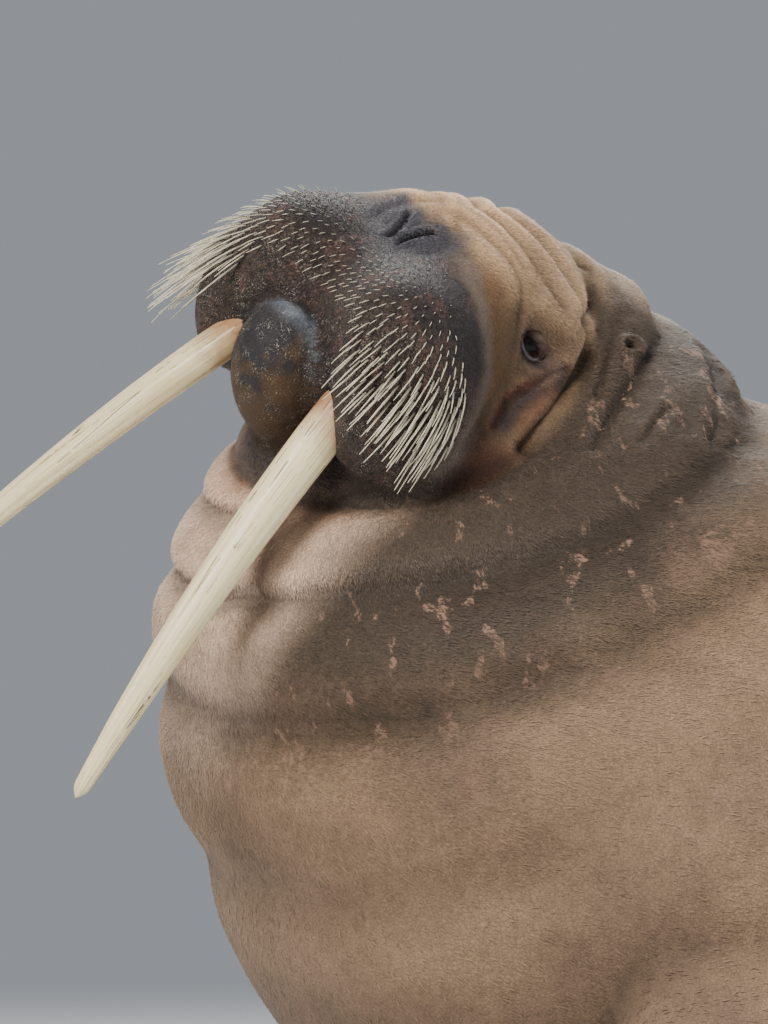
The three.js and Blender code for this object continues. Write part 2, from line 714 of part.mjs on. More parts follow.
// The trunk's parts
const body = floorCut(trunkSolid(0));
const bodyRoom = trunkSolid(gap);
let neck = towardsHead(body, cuts.neck);
for (const side of [1, -1]) {
  const from = vector(ear.from);
  const outward = new THREE.Vector3(ear.heading[0], ear.heading[1] * side, ear.heading[2]).normalize();
  const foot = from.clone().addScaledVector(outward, reach(headOnly, from, outward, farthest.head, 6));
  const normal = slopeOf(headOnly, foot);
  const backward = new THREE.Vector3(-1, 0, 0.2);
  backward.addScaledVector(normal, -backward.dot(normal)).normalize();
  const across = normal.clone().cross(backward);
  const at = (angle) =>
    foot
      .clone()
      .addScaledVector(backward, Math.cos(angle) * ear.rim[0])
      .addScaledVector(across, Math.sin(angle) * ear.rim[1])
      .addScaledVector(normal, ear.lift[0] + ear.lift[1] * Math.cos(angle));
  at.middle = foot.clone().addScaledVector(normal, -30);
  const thick = (angle) => ear.thick[0] + ear.thick[1] * Math.cos(angle);
  const rim = ringSolid(ear.across, ear.round, at, thick);
  const hole = new THREE.SphereGeometry(1, ear.across, ear.round + 1);
  hole.scale(...ear.pit);
  hole.applyMatrix4(new THREE.Matrix4().makeBasis(backward, across, backward.clone().cross(across)));
  hole.deleteAttribute("normal");
  hole.deleteAttribute("uv");
  const pit = solid(mergeVertices(hole, 1e-3)).translate(foot.toArray());
  neck = neck.add(place(rim)).subtract(place(pit));
}
neck = neck.subtract(place(ball(headReach, gap, reachDetail)));
const chest = towardsHead(towardsTail(body, cuts.neck), cuts.chest);
const torso = towardsHead(towardsTail(body, cuts.chest), cuts.waist);
const hips = towardsHead(towardsTail(body, cuts.waist), cuts.tail);
const tail = towardsTail(body, cuts.tail);

// A flipper: a flattened tube along its line with a ridge over each digit
function flipperPoint(form, line, share, angle) {
  const sizes = form.width.map((width, i) => new THREE.Vector3(width, form.depth[i], 0));
  const size = new THREE.CatmullRomCurve3(sizes).getPoint(share);
  const centre = line.getPoint(share);
  const tangent = line.getTangent(share);
  const across = new THREE.Vector3(0, 0, 1).cross(tangent).normalize();
  const normal = tangent.clone().cross(across);
  if (share === 0 || share === 1) return centre;
  const ridge = 1 + form.ridge * share * Math.cos(Math.cos(angle) * form.digits * Math.PI);
  const rise = Math.sin(angle) > 0 ? ridge : 1;
  return centre
    .addScaledVector(across, Math.cos(angle) * size.x)
    .addScaledVector(normal, Math.sin(angle) * size.y * rise);
}
function flipperSolid(form, side) {
  const line = new THREE.CatmullRomCurve3(form.line.map(vector));
  const point = (share, angle) => flipperPoint(form, line, share, angle);
  const made = solid(skinned(flipperSegments, flipperRings, point));
  return side > 0 ? made : made.mirror([1, 0, 0]);
}
// Five small nails on a flipper's back, near its tip
function nailSolids(form, side) {
  const line = new THREE.CatmullRomCurve3(form.line.map(vector));
  const made = [];
  for (let i = 0; i < form.digits; i++) {
    const across = (i - (form.digits - 1) / 2) / (form.digits / 2);
    const onward = line.getTangent(nails.set);
    const root = flipperPoint(form, line, nails.set, Math.acos(across * nails.reach));
    root.addScaledVector(onward, -nails.sunk[0]);
    root.z -= nails.sunk[1];
    const direction = onward.clone().setZ(onward.z + nails.rise).normalize();
    const fall = new THREE.Vector3(0, 0, -nails.bend);
    const nail = spike(root, direction, fall, nails.length, nails.radius, nails.sides, 1);
    made.push(side > 0 ? nail : nail.mirror([1, 0, 0]));
  }
  return made;
}
function flipper(form, side) {
  const bare = floorCut(flipperSolid(form, side)).subtract(bodyRoom);
  return largest(Manifold.union([largest(bare), ...nailSolids(form, side)]));
}

// The wrist: a fore flipper's plane between forearm and palm
function wrist(side) {
  const line = new THREE.CatmullRomCurve3(foreFlipper.line.map(vector));
  const share = foreFlipper.wrist / (foreFlipper.line.length - 1);
  const at = line.getPoint(share);
  const normal = line.getTangent(share);
  const turned = new THREE.Vector3(normal.x * side, normal.y, normal.z);
  return { normal: turned, offset: turned.dot(new THREE.Vector3(at.x * side, at.y, at.z)) };
}
function palm(side) {
  const cut = wrist(side);
  return flipper(foreFlipper, side).trimByPlane(cut.normal.toArray(), cut.offset + gap / 2);
}
function forearm(side) {
  const cut = wrist(side);
  const inward = cut.normal.clone().negate().toArray();
  return flipper(foreFlipper, side).trimByPlane(inward, -cut.offset + gap / 2);
}

const nodes = [
  ["head", head, colours.skin],
  ["whisker_pad_left", place(padLeft), colours.pad],
  ["whisker_pad_right", place(padRight), colours.pad],
  ["lower_jaw", place(jaw), colours.jaw],
  ["tusk_left", place(tusks[0]), colours.ivory],
  ["tusk_right", place(tusks[1]), colours.ivory],
  ["eye_left", place(eyes[0]), colours.eye],
  ["eye_right", place(eyes[1]), colours.eye],
  ["neck", neck, colours.neck],
  ["chest", chest, colours.neck],
  ["torso", torso, colours.neck],
  ["hips", hips, colours.neck],
  ["tail", tail, colours.neck],
  ["forearm_left", forearm(1), colours.flipper],
  ["forearm_right", forearm(-1), colours.flipper],
  ["fore_flipper_left", palm(1), colours.flipper],
  ["fore_flipper_right", palm(-1), colours.flipper],
  ["hind_flipper_left", flipper(hindFlipper, 1), colours.flipper],
  ["hind_flipper_right", flipper(hindFlipper, -1), colours.flipper],
];

const walrus = new THREE.Group();
walrus.name = "walrus";
for (const [name, shape, colour] of nodes) {
  const made = largest(shape).getMesh();
  const geometry = new THREE.BufferGeometry();
  geometry.setAttribute("position", new THREE.BufferAttribute(made.vertProperties, made.numProp));
  geometry.setIndex(new THREE.BufferAttribute(made.triVerts, 1));
  geometry.computeVertexNormals();
  const roughness = name.startsWith("eye") ? 0.15 : 0.75;
  const material = new THREE.MeshStandardMaterial({ color: colour, roughness, metalness: 0 });
  const mesh = new THREE.Mesh(geometry, material);
  mesh.name = name;
  walrus.add(mesh);
}

// The floor rectangle's middle becomes the origin
const bounds = new THREE.Box3().setFromObject(walrus);
const middle = bounds.getCenter(new THREE.Vector3());
for (const mesh of walrus.children) mesh.geometry.translate(-middle.x, -middle.y, -bounds.min.z);

export default walrus;
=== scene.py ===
import math
import bpy
import numpy as np
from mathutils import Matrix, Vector
from mathutils.bvhtree import BVHTree


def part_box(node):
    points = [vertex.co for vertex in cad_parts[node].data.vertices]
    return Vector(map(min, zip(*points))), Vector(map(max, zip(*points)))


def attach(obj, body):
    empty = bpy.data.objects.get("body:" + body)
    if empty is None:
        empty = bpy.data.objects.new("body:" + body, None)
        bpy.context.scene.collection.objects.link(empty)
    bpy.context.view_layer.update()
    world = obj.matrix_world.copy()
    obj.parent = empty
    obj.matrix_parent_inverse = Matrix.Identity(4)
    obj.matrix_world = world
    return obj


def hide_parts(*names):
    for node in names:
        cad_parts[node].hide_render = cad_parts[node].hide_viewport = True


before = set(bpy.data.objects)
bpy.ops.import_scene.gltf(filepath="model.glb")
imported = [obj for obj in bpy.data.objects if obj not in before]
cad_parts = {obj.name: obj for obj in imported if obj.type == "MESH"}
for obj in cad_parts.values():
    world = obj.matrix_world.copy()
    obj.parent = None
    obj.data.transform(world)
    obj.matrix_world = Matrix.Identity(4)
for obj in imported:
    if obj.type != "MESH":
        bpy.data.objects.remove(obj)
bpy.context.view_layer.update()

milli = 0.001  # the forms are in millimetres, the scene in metres

# Where the head is and how it is held, in degrees
headPose = {"turn": 36.2, "tip": 27.1, "lean": 34.0, "eyesInHead": (5.0, 0.0, -3.0)}


def boxMiddle(name):
    low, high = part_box(name)
    return (np.array(low) + np.array(high)) / 2


def findHead():
    turn, tip, lean = (math.radians(headPose[key]) for key in ("turn", "tip", "lean"))
    ahead = np.array([math.sin(turn) * math.cos(tip), -math.cos(turn) * math.cos(tip), math.sin(tip)])
    levelLeft = np.array([math.cos(turn), math.sin(turn), 0.0])
    levelUp = np.cross(ahead, levelLeft)
    left = levelLeft * math.cos(lean) - levelUp * math.sin(lean)
    axes = np.stack([ahead, left, np.cross(ahead, left)])
    eyes = (boxMiddle("eye_left") + boxMiddle("eye_right")) / 2 / milli
    return axes, eyes - np.array(headPose["eyesInHead"]) @ axes


headAxes, headOrigin = findHead()  # rows point to the nose, to its left and to the crown


def toHead(points):
    return (points - headOrigin) @ headAxes.T


def fromHead(points):
    return np.asarray(points, float) @ headAxes + headOrigin


# What is given for the left side serves both: a place is moved to a side, or points to the left
def onSide(place, side):
    return np.array(place, float) * (1, side, 1)


def toLeft(points):
    return points * (1, 0, 1) + np.abs(points) * (0, 1, 0)


def smoothStep(values, low, high):
    share = np.clip((values - low) / (high - low), 0, 1)
    return share * share * (3 - 2 * share)


def lerp(first, second, share):
    return first + (second - first) * share


def unit(vectors):
    return vectors / np.maximum(np.linalg.norm(vectors, axis=-1, keepdims=True), 1e-9)


def hill(distance, width):
    return np.exp(-((distance / width) ** 2))


def latticeNoise(points, size, seed):
    place = points / size + seed * 17.31
    base = np.floor(place).astype(np.int64)
    part = place - base
    part = part * part * (3 - 2 * part)
    total = np.zeros(len(points))
    for corner in range(8):
        step = np.array([corner & 1, corner >> 1 & 1, corner >> 2 & 1])
        cell = base + step
        mixed = cell[:, 0] * 374761393 + cell[:, 1] * 668265263 + cell[:, 2] * 1440662683 + seed * 97
        mixed = ((mixed ^ (mixed >> 13)) * 1274126177) & 0xFFFFFFFF
        value = ((mixed ^ (mixed >> 16)) & 0xFFFF) / 65535.0
        total += np.prod(np.where(step, part, 1 - part), axis=1) * value
    return total * 2 - 1


def layeredNoise(points, size, seed, layers=3):
    total = sum(latticeNoise(points, size / 2**i, seed + i) / 2**i for i in range(layers))
    return total / (2 - 2.0 ** (1 - layers))


# A curve through control points, as the solids' curves run
def centripetal(control, count):
    control = np.asarray(control, float)
    padded = np.vstack([2 * control[0] - control[1], control, 2 * control[-1] - control[-2]])
    place = np.linspace(0, len(control) - 1, count)
    low = np.minimum(place.astype(int), len(control) - 2)
    t = (place - low)[:, None]
    a, b, c, d = (padded[low + i] for i in range(4))
    spans = (b - a, c - b, d - c)
    before, here, after = (np.linalg.norm(span, axis=1)[:, None] ** 0.5 for span in spans)
    start = ((b - a) / before - (c - a) / (before + here) + (c - b) / here) * here
    end = ((c - b) / here - (d - b) / (here + after) + (d - c) / after) * here
    cube, square = t**3, t**2
    near = b * (2 * cube - 3 * square + 1) + start * (cube - 2 * square + t)
    return near + c * (3 * square - 2 * cube) + end * (cube - square)


# The body's form, with the same sizes as the solids
trunk = {
    "top": [(36, 890), (92, 916), (182, 892), (318, 776), (455, 712), (590, 676), (800, 650),
            (1060, 628), (1390, 572), (1700, 486), (1940, 388), (2120, 286), (2236, 200), (2310, 130)],
    "bottom": [(-160, 810), (-206, 762), (-248, 682), (-282, 560), (-238, 350), (-62, 96), (440, -14),
               (900, -20), (1310, -22), (1680, -18), (1940, -6), (2128, 22), (2244, 50), (2312, 72)],
    "side": [50, 80, 140, 240, 330, 385, 420, 432, 420, 366, 282, 178, 86, 36],
    "shift": [56, 34, 0, 0, 0, 0, 0, 0, 0, 0, 0, 0, 0, 0],
    "fullness": 2.25,
    # section, slant, depth and width
    "folds": [(2.2, 0.4, 10, 0.12), (2.8, 0.42, 13, 0.13), (3.45, 0.36, 14, 0.14), (4.2, 0.24, 11, 0.16)],
}
# Rounded balls of the head, in its own frame: middle and radii
headForms = {
    "cranium": ((-50, 0, 0), (160, 108, 98)),
    "bridge": ((66, 0, -6), (73, 84, 63)),
    "muzzle": ((92, 0, -84), (86, 112, 80)),
    "jaw": ((40, 0, -150), (112, 86, 80)),
    "nose": ((97, 0, -22), (38, 46, 32)),
    "reach": ((80, 0, -60), (180, 197, 216)),
    "padReach": ((109, 84, -118), (98, 93, 106)),
    "mouthRoom": ((112, 0, -120), (50, 90, 60)),
}
sideForms = {
    "cheek": ((2, 62, -92), (112, 70, 84)),
    "brow": ((-14, 82, 26), (44, 30, 28)),
    "face": ((60, 57, -30), (80, 52, 60)),
    "pad": ((115, 76, -88), (84, 72, 76)),
    "padLow": ((92, 114, -148), (74, 50, 66)),
}
limbForms = {
    "shoulder": ((262, 250, 330), (150, 230, 210)),
    "hip": ((190, 1850, 150), (150, 230, 150)),
}
blend = {"head": 30, "nose": 14, "pads": 50, "muzzle": 32, "neck": 26, "limb": 70}
lipForm = {"at": (136, 0, -182), "radii": (78, 50, 50), "tip": 32.5}
mouthLine = {"depth": 6.0, "width": 5.0, "blend": 10.0}
headEdge = {"depth": 8, "width": 0.07}  # the crease where the head meets the neck

sliceCount = 241
sliceTops = centripetal([(s, *top) for s, top in zip(trunk["shift"], trunk["top"])], sliceCount)
sliceBottoms = centripetal([(s, *low) for s, low in zip(trunk["side"], trunk["bottom"])], sliceCount)
sliceTable = np.hstack([sliceTops, sliceBottoms])


def sliceAt(share):
    place = share * (sliceCount - 1)
    marks = np.arange(sliceCount)
    shift, topY, topZ, side, lowY, lowZ = (np.interp(place, marks, sliceTable[:, i]) for i in range(6))
    half = np.hypot(topY - lowY, topZ - lowZ) / 2
    return {"x": shift, "y": (topY + lowY) / 2, "z": (topZ + lowZ) / 2, "side": side, "half": half,
            "upY": (topY - lowY) / (2 * half), "upZ": (topZ - lowZ) / (2 * half)}


def findSlice(points):
    low, high = np.zeros(len(points)), np.ones(len(points))
    for _ in range(12):
        middle = (low + high) / 2
        cut = sliceAt(middle)
        behind = (points[:, 1] - cut["y"]) * cut["upZ"] - (points[:, 2] - cut["z"]) * cut["upY"] > 0
        low, high = np.where(behind, middle, low), np.where(behind, high, middle)
    return low, sliceAt(low)


def trunkField(points):
    share, cut = findSlice(points)
    sideways = points[:, 0] - cut["x"]
    y, z = points[:, 1] - cut["y"], points[:, 2] - cut["z"]
    rise = y * cut["upY"] + z * cut["upZ"]
    full = trunk["fullness"]
    level = ((np.abs(sideways) / cut["side"]) ** full + (np.abs(rise) / cut["half"]) ** full) ** (1 / full)
    ends = np.maximum(np.abs(y * cut["upZ"] - z * cut["upY"]) - 4, 0)
    turned = sideways / np.maximum(np.hypot(sideways, rise), 1)
    crease = np.zeros(len(points))
    for at, slant, depth, width in trunk["folds"]:
        crease += depth * hill(share * (len(trunk["top"]) - 1) - slant * turned - at, width)
    return (level - 1) * np.minimum(cut["side"], cut["half"]) + ends + crease


def ellipsoidField(points, form):
    at, radii = (np.asarray(part, float) for part in form)
    scaled = (points - at) / radii
    level = np.linalg.norm(scaled, axis=1)
    return level * (level - 1) / np.maximum(np.linalg.norm(scaled / radii, axis=1), 1e-9)


def joinFields(first, second, width):
    mixed = np.maximum(width - np.abs(first - second), 0) / width
    return np.minimum(first, second) - mixed * mixed * width / 4


def headField(points):
    side = toLeft(points)
    value = ellipsoidField(points, headForms["cranium"])
    for name in ("bridge", "muzzle", "jaw"):
        value = joinFields(value, ellipsoidField(points, headForms[name]), blend["head"])
    for name in ("cheek", "brow", "face"):
        value = joinFields(value, ellipsoidField(side, sideForms[name]), blend["head"])
    value = joinFields(value, ellipsoidField(points, headForms["nose"]), blend["nose"])
    pads = [ellipsoidField(side, sideForms[name]) for name in ("pad", "padLow")]
    return joinFields(value, joinFields(*pads, blend["pads"]), blend["muzzle"])


# The lower lip is a ball tipped up towards its front
def turnLip(offset, way):
    tip = math.radians(lipForm["tip"]) * way
    ahead = offset[:, 0] * math.cos(tip) + offset[:, 2] * math.sin(tip)
    return np.stack([ahead, offset[:, 1], offset[:, 2] * math.cos(tip) - offset[:, 0] * math.sin(tip)], 1)


def lipField(points):
    offset = turnLip(points - np.array(lipForm["at"], float), 1)
    return ellipsoidField(offset, ((0, 0, 0), lipForm["radii"]))


def reachLevel(inHead):
    at, radii = headForms["reach"]
    return np.linalg.norm((inHead - at) / np.array(radii, float), axis=1)


def bodyField(points):
    inHead = toHead(points)
    own = points - (0, headOrigin[1], 0)
    side = np.abs(own) * (1, 0, 0) + own * (0, 1, 1)
    value = joinFields(trunkField(own), headField(inHead), blend["neck"])
    for form in limbForms.values():
        value = joinFields(value, ellipsoidField(side, form), blend["limb"])
    value = value + headEdge["depth"] * hill(reachLevel(inHead) - 1, headEdge["width"])
    return joinFields(value, lipField(inHead), mouthLine["blend"])


# The skin: the solids' flesh remeshed as one, made finer towards the face and drawn onto the body's form
skinStyle = {
    "voxel": 0.016,
    "depth": 2.0,  # under the solids
    "rounds": 6,
    "floor": 0.6,  # lowest point
    "faceRegion": 1.1,  # the finer mesh, in the head's reaches from its middle
    "neckRegion": 1.75,
    "limbEdge": (8, 46),  # where the limbs' own shape gives way to the form
    "seamEase": 14,  # rounds of smoothing where lip and pads meet
}
fleshNodes = [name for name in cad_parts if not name.startswith(("tusk", "eye"))]
limbNodes = [name for name in fleshNodes if "forearm" in name or "flipper" in name]


def deselect():
    bpy.ops.object.select_all(action="DESELECT")


def activate(piece):
    deselect()
    piece.select_set(True)
    bpy.context.view_layer.objects.active = piece


def editAll(piece, operator, **values):
    activate(piece)
    bpy.ops.object.mode_set(mode="EDIT")
    bpy.ops.mesh.select_all(action="SELECT")
    operator(**values)
    bpy.ops.object.mode_set(mode="OBJECT")


def addObject(name, data):
    made = bpy.data.objects.new(name, data)
    bpy.context.scene.collection.objects.link(made)
    return made


def joinedCopy(names, title):
    deselect()
    for name in names:
        piece = addObject(title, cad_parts[name].data.copy())
        piece.select_set(True)
        bpy.context.view_layer.objects.active = piece
    bpy.ops.object.join()
    piece = bpy.context.view_layer.objects.active
    piece.name = title
    piece.data.materials.clear()
    editAll(piece, bpy.ops.mesh.remove_doubles, threshold=1e-5)
    return piece


# A ball in the head's frame fills what the whiskers, the tusks' channels and the eye rooms leave uneven
def addBall(at, radii, side=1, tip=0):
    bpy.ops.mesh.primitive_uv_sphere_add(segments=24, ring_count=16, radius=1)
    ball = bpy.context.view_layer.objects.active
    points = getPoints(ball) * milli * radii
    if tip:
        points = turnLip(points, -1)
    setPoints(ball, fromHead(points + onSide(at, side)))
    return ball


def applyModifier(piece, kind, **values):
    activate(piece)
    modifier = piece.modifiers.new(kind, kind)
    for key, value in values.items():
        setattr(modifier, key, value)
    bpy.ops.object.modifier_apply(modifier=modifier.name)


def readAll(items, name, across=1, kind=float):
    flat = np.empty(len(items) * across, kind)
    items.foreach_get(name, flat)
    return flat.reshape(-1, across) if across > 1 else flat


def getPoints(piece):
    return readAll(piece.data.vertices, "co", 3) / milli


def setPoints(piece, points):
    piece.data.vertices.foreach_set("co", (points * milli).ravel())
    piece.data.update()


def getNormals(piece):
    return readAll(piece.data.vertex_normals, "vector", 3)


def getEdges(piece):
    return readAll(piece.data.edges, "vertices", 2, int)


def averageAround(values, edges):
    total = np.zeros_like(values)
    count = np.bincount(edges.ravel(), minlength=len(values))[:, None]
    for axis in range(values.shape[1]):
        total[:, axis] = np.bincount(edges[:, 0], values[edges[:, 1], axis], len(values))
        total[:, axis] += np.bincount(edges[:, 1], values[edges[:, 0], axis], len(values))
    return total / np.maximum(count, 1)


# Loose bits that the remesh leaves inside are deleted
def keepLargest(piece):
    edges = getEdges(piece)
    label = np.arange(len(piece.data.vertices))
    while True:
        lowest = label.copy()
        np.minimum.at(lowest, edges[:, 0], label[edges[:, 1]])
        np.minimum.at(lowest, edges[:, 1], label[edges[:, 0]])
        lowest = lowest[lowest]
        if np.array_equal(lowest, label):
            break
        label = lowest
    main = np.bincount(label).argmax()
    if (label == main).all():
        return
    piece.data.vertices.foreach_set("select", label != main)
    activate(piece)
    bpy.ops.object.mode_set(mode="EDIT")
    bpy.ops.mesh.select_mode(type="VERT")
    bpy.ops.mesh.delete(type="VERT")
    bpy.ops.object.mode_set(mode="OBJECT")


def refine(piece, chosen):
    centres = readAll(piece.data.polygons, "center", 3)
    activate(piece)
    bpy.ops.object.mode_set(mode="EDIT")
    bpy.ops.mesh.select_mode(type="FACE")
    bpy.ops.mesh.select_all(action="DESELECT")
    bpy.ops.object.mode_set(mode="OBJECT")
    piece.data.polygons.foreach_set("select", chosen(centres / milli))
    bpy.ops.object.mode_set(mode="EDIT")
    bpy.ops.mesh.subdivide(number_cuts=1)
    bpy.ops.object.mode_set(mode="OBJECT")


# Places on the left side, in the head's own millimetres and degrees
eye = {
    "at": (5, 88, -3),
    "radius": 19.5,
    "look": (0.46, 0.89, 0.02),
    "slant": 14,
    "long": 15.5,
    "high": 10.2,
    "lidRoom": 9,  # how far under the ball's front the socket's floor lies
}
ear = {"from": (-30, 0, 20), "heading": (-0.37, 0.87, 0.34), "long": 12, "high": 6, "rim": 4.5, "depth": 9}
nostril = {"at": (139, 12, -3), "lean": 24, "long": 16, "bend": 3.5, "depth": 11, "rim": 2.6, "ahead": 0.15}
napeFolds = {"at": (-72, 98, 58), "reach": 34}


# Creases of the head and neck: path, depth and width
creases = {
    "behindMuzzle": ([(127, 0, 40), (98, 45, 44), (68, 76, 35), (50, 104, 0), (22, 126, -54),
                      (4, 140, -100)], 3.2, 6),
    "overBrow": ([(88, 0, 60), (60, 42, 62), (29, 76, 55), (16, 99, 44)], 4.2, 5),
    "brow": ([(108, 0, 52), (84, 40, 54), (60, 68, 46)], 1.6, 4),
    "behindEye": ([(50, 0, 78), (6, 57, 76), (-31, 98, 49), (-39, 118, 20), (-18, 147, -25),
                   (-1, 166, -81)], 13, 5),
    "nape": ([(-9, 0, 93), (-60, 33, 91), (-49, 70, 67), (-17, 103, 48)], 6, 5),
    "neckFirst": ([(-129, 36, 100), (-74, 89, 70), (-52, 133, 27), (-46, 153, 6)], 4.5, 3.5),
    "neckSlant": ([(-150, 80, 98), (-122, 107, 83), (-76, 152, 36), (-49, 180, -7), (-30, 204, -37)], 6, 3.5),
    "neckShort": ([(-91, 190, 43), (-61, 218, 1)], 4, 3),
    "neckFold": ([(-176, 113, 110), (-155, 165, 98), (-140, 204, 78), (-122, 237, 51)], 9, 5),
    "neckFoldSecond": ([(-175, 140, 108), (-156, 213, 82), (-153, 240, 62)], 7, 5),
    "neckFoldThird": ([(-185, 160, 103), (-174, 221, 85), (-166, 250, 70)], 7, 5),
    "underEye": ([(-20, 124, 2), (-7, 124, -14), (5, 126, -33), (18, 130, -53), (27, 144, -84)], 6, 2.5),
    "underEyeLow": ([(-30, 131, -12), (-17, 142, -38), (-1, 147, -68), (12, 155, -100)], 5, 3),
    "eyeFold": ([(38, 84, 12), (36, 88, -12), (22, 104, -30), (0, 116, -28)], 4, 3),
    "nostrilFold": ([(112, 14, 34), (128, 32, 22), (138, 40, 2), (146, 34, -20)], 2.5, 4),
}
swellings = {
    "overEye": ([(34, 96, 34), (4, 108, 34), (-20, 112, 14), (-26, 116, -12)], 5, 12),
    "foldUnderEye": ([(-16, 126, -4), (-10, 130, -17), (2, 134, -37), (13, 138, -59), (22, 147, -80)], 5, 7),
    "muzzleRim": ([(112, 0, 34), (84, 46, 34), (56, 82, 22), (40, 110, -14), (14, 130, -64)], 3, 9),
    "tuskSocket": ([(128, 50, -208), (104, 80, -212), (130, 110, -206), (158, 84, -200),
                    (130, 50, -208)], 4, 9),
}


def pathDistance(points, control, count=60):
    path = centripetal(control, count)
    least = np.full(len(points), 1e9)
    low, high = path.min(0) - 40, path.max(0) + 40
    near = np.nonzero(((points > low) & (points < high)).all(1))[0]
    for first, second in zip(path[:-1], path[1:]):
        along = second - first
        share = np.clip(((points[near] - first) @ along) / (along @ along), 0, 1)
        gap = np.linalg.norm(points[near] - first - share[:, None] * along, axis=1)
        least[near] = np.minimum(least[near], gap)
    return least


def sideDistance(inHead, at):
    return np.linalg.norm(toLeft(inHead) - at, axis=1)


def fineRegion(points):
    inHead = toHead(points)
    level, left = reachLevel(inHead), toLeft(inHead)
    chosen = (sideDistance(inHead, eye["at"]) < 46) | (sideDistance(inHead, nostril["at"]) < 34)
    chosen |= (np.abs(headField(inHead) - lipField(inHead)) < 12) & (inHead[:, 0] > 90)
    chosen &= level < 1.3
    chosen |= sideDistance(inHead, napeFolds["at"]) < napeFolds["reach"]
    for path, *_ in creases.values():
        chosen |= (level < 1.7) & (pathDistance(left, path) < 8)
    return chosen


def limbDistance(points):
    vertices, faces = [], []
    for name in limbNodes:
        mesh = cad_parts[name].data
        start = len(vertices)
        vertices += [vertex.co.copy() for vertex in mesh.vertices]
        faces += [[index + start for index in face.vertices] for face in mesh.polygons]
    limbTree = BVHTree.FromPolygons(vertices, faces)
    found = (limbTree.find_nearest(Vector(point), 0.2) for point in points * milli)
    return np.array([200.0 if hit[3] is None else hit[3] / milli for hit in found])


# Each round moves the points towards the form and evens them out along it
def drawOnto(piece, share, times):
    edges = getEdges(piece)
    for _ in range(times):
        points, normals = getPoints(piece), getNormals(piece)
        value = bodyField(points) + skinStyle["depth"]
        slope = np.stack([bodyField(points + step) + skinStyle["depth"] - value for step in np.eye(3)], 1)
        steep = np.maximum((slope * slope).sum(1), 0.3)
        points -= slope * (np.clip(value, -8, 8) / steep * share)[:, None]
        shift = averageAround(points, edges) - points
        shift -= normals * (shift * normals).sum(1)[:, None]
        setPoints(piece, points + shift * 0.4 * share[:, None])


skin = joinedCopy([name for name in fleshNodes if "whisker" not in name and "jaw" not in name], "skin")
balls = [addBall(lipForm["at"], lipForm["radii"], 1, lipForm["tip"]), addBall(*headForms["mouthRoom"])]
for side in (1, -1):
    balls += [addBall(*headForms["padReach"], side), addBall(eye["at"], np.full(3, eye["radius"]), side)]
activate(skin)
for ball in balls:
    ball.select_set(True)
bpy.ops.object.join()
skin.name = "skin"
applyModifier(skin, "REMESH", mode="VOXEL", voxel_size=skinStyle["voxel"], adaptivity=0)
keepLargest(skin)
applyModifier(skin, "SMOOTH", factor=0.5, iterations=4)
refine(skin, lambda points: reachLevel(toHead(points)) < skinStyle["neckRegion"])
refine(skin, lambda points: reachLevel(toHead(points)) < skinStyle["faceRegion"])
refine(skin, fineRegion)
applyModifier(skin, "SMOOTH", factor=0.5, iterations=3)
print("skin", len(skin.data.vertices), "points")

bodyShare = smoothStep(limbDistance(getPoints(skin)), *skinStyle["limbEdge"])
drawOnto(skin, bodyShare, skinStyle["rounds"])
print("skin drawn onto the form")

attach(skin, "root")
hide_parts(*fleshNodes)


# The folds waver, in their shape and in their colour alike
def foldWobble(left):
    return layeredNoise(left, 22, 5, 2) * 2.2


def formDetail(inHead):
    left = toLeft(inHead)
    height = np.zeros(len(inHead))
    wobble = foldWobble(left)
    for path, depth, width in creases.values():
        gap = np.abs(pathDistance(left, path) + wobble)
        height -= depth * (0.6 * np.exp(-gap / (width * 0.55)) + 0.4 * hill(gap, width * 1.9))
        height += depth * 0.2 * hill(gap - width * 3, width * 2)
    for path, rise, width in swellings.values():
        height += rise * hill(pathDistance(left, path), width)
    groove = hill(headField(inHead) - lipField(inHead), mouthLine["width"])
    groove *= smoothStep(inHead[:, 0], 50, 90)
    return height - mouthLine["depth"] * groove


# Head and throat stay smooth, and the hide grows lumpy towards the shoulders
def hideStrength(points, level):
    return smoothStep(level, 0.9, 1.5) * (1 - 0.5 * smoothStep(points[:, 1], -200, 600))


points = getPoints(skin)
inHead = toHead(points)
level = reachLevel(inHead)
height = formDetail(inHead) * (level < 2.2)
coarse = layeredNoise(points * (1, 0.6, 1.4), 90, 21, 2) * 3.5 * hideStrength(points, level)
fine = layeredNoise(points * (1, 1, 1.3), 26, 31, 2) * 1.3 * smoothStep(level, 0.9, 1.2)
fine *= 1 - smoothStep(level, 1.75, 1.9)
height += coarse + fine * bodyShare
setPoints(skin, points + getNormals(skin) * height[:, None])

# Where lip and pads meet, the skin is eased so that it doesn't crumple
seam = hill(headField(inHead) - lipField(inHead), 10) * smoothStep(inHead[:, 0], 60, 100) * (level < 1.2)
edges, points = getEdges(skin), getPoints(skin)
for _ in range(skinStyle["seamEase"]):
    points += (averageAround(points, edges) - points) * 0.7 * seam[:, None]
setPoints(skin, points)
print("folds pressed in")


# Eye sockets, nostrils and ears are pressed into the skin along their own directions
def eyeAxes(side):
    look = unit(onSide(eye["look"], side))
    slant = math.radians(eye["slant"])
    slit = np.array([math.cos(slant), 0, math.sin(slant)])
    slit = unit(slit - look * (slit @ look))
    return slit, np.cross(slit, look) * side, look


def pressSocket(inHead, side):
    slit, across, look = eyeAxes(side)
    offset = inHead - onSide(eye["at"], side)
    wide, tall, out = offset @ slit, offset @ across, offset @ look
    level = np.hypot(wide / (eye["long"] + 1), tall / (eye["high"] + 1))
    share = (1 - smoothStep(level, 0.8, 1.25)) * (out > 0)
    depth = np.maximum(out - (eye["radius"] - eye["lidRoom"]), 0) * share
    return inHead - look * depth[:, None]


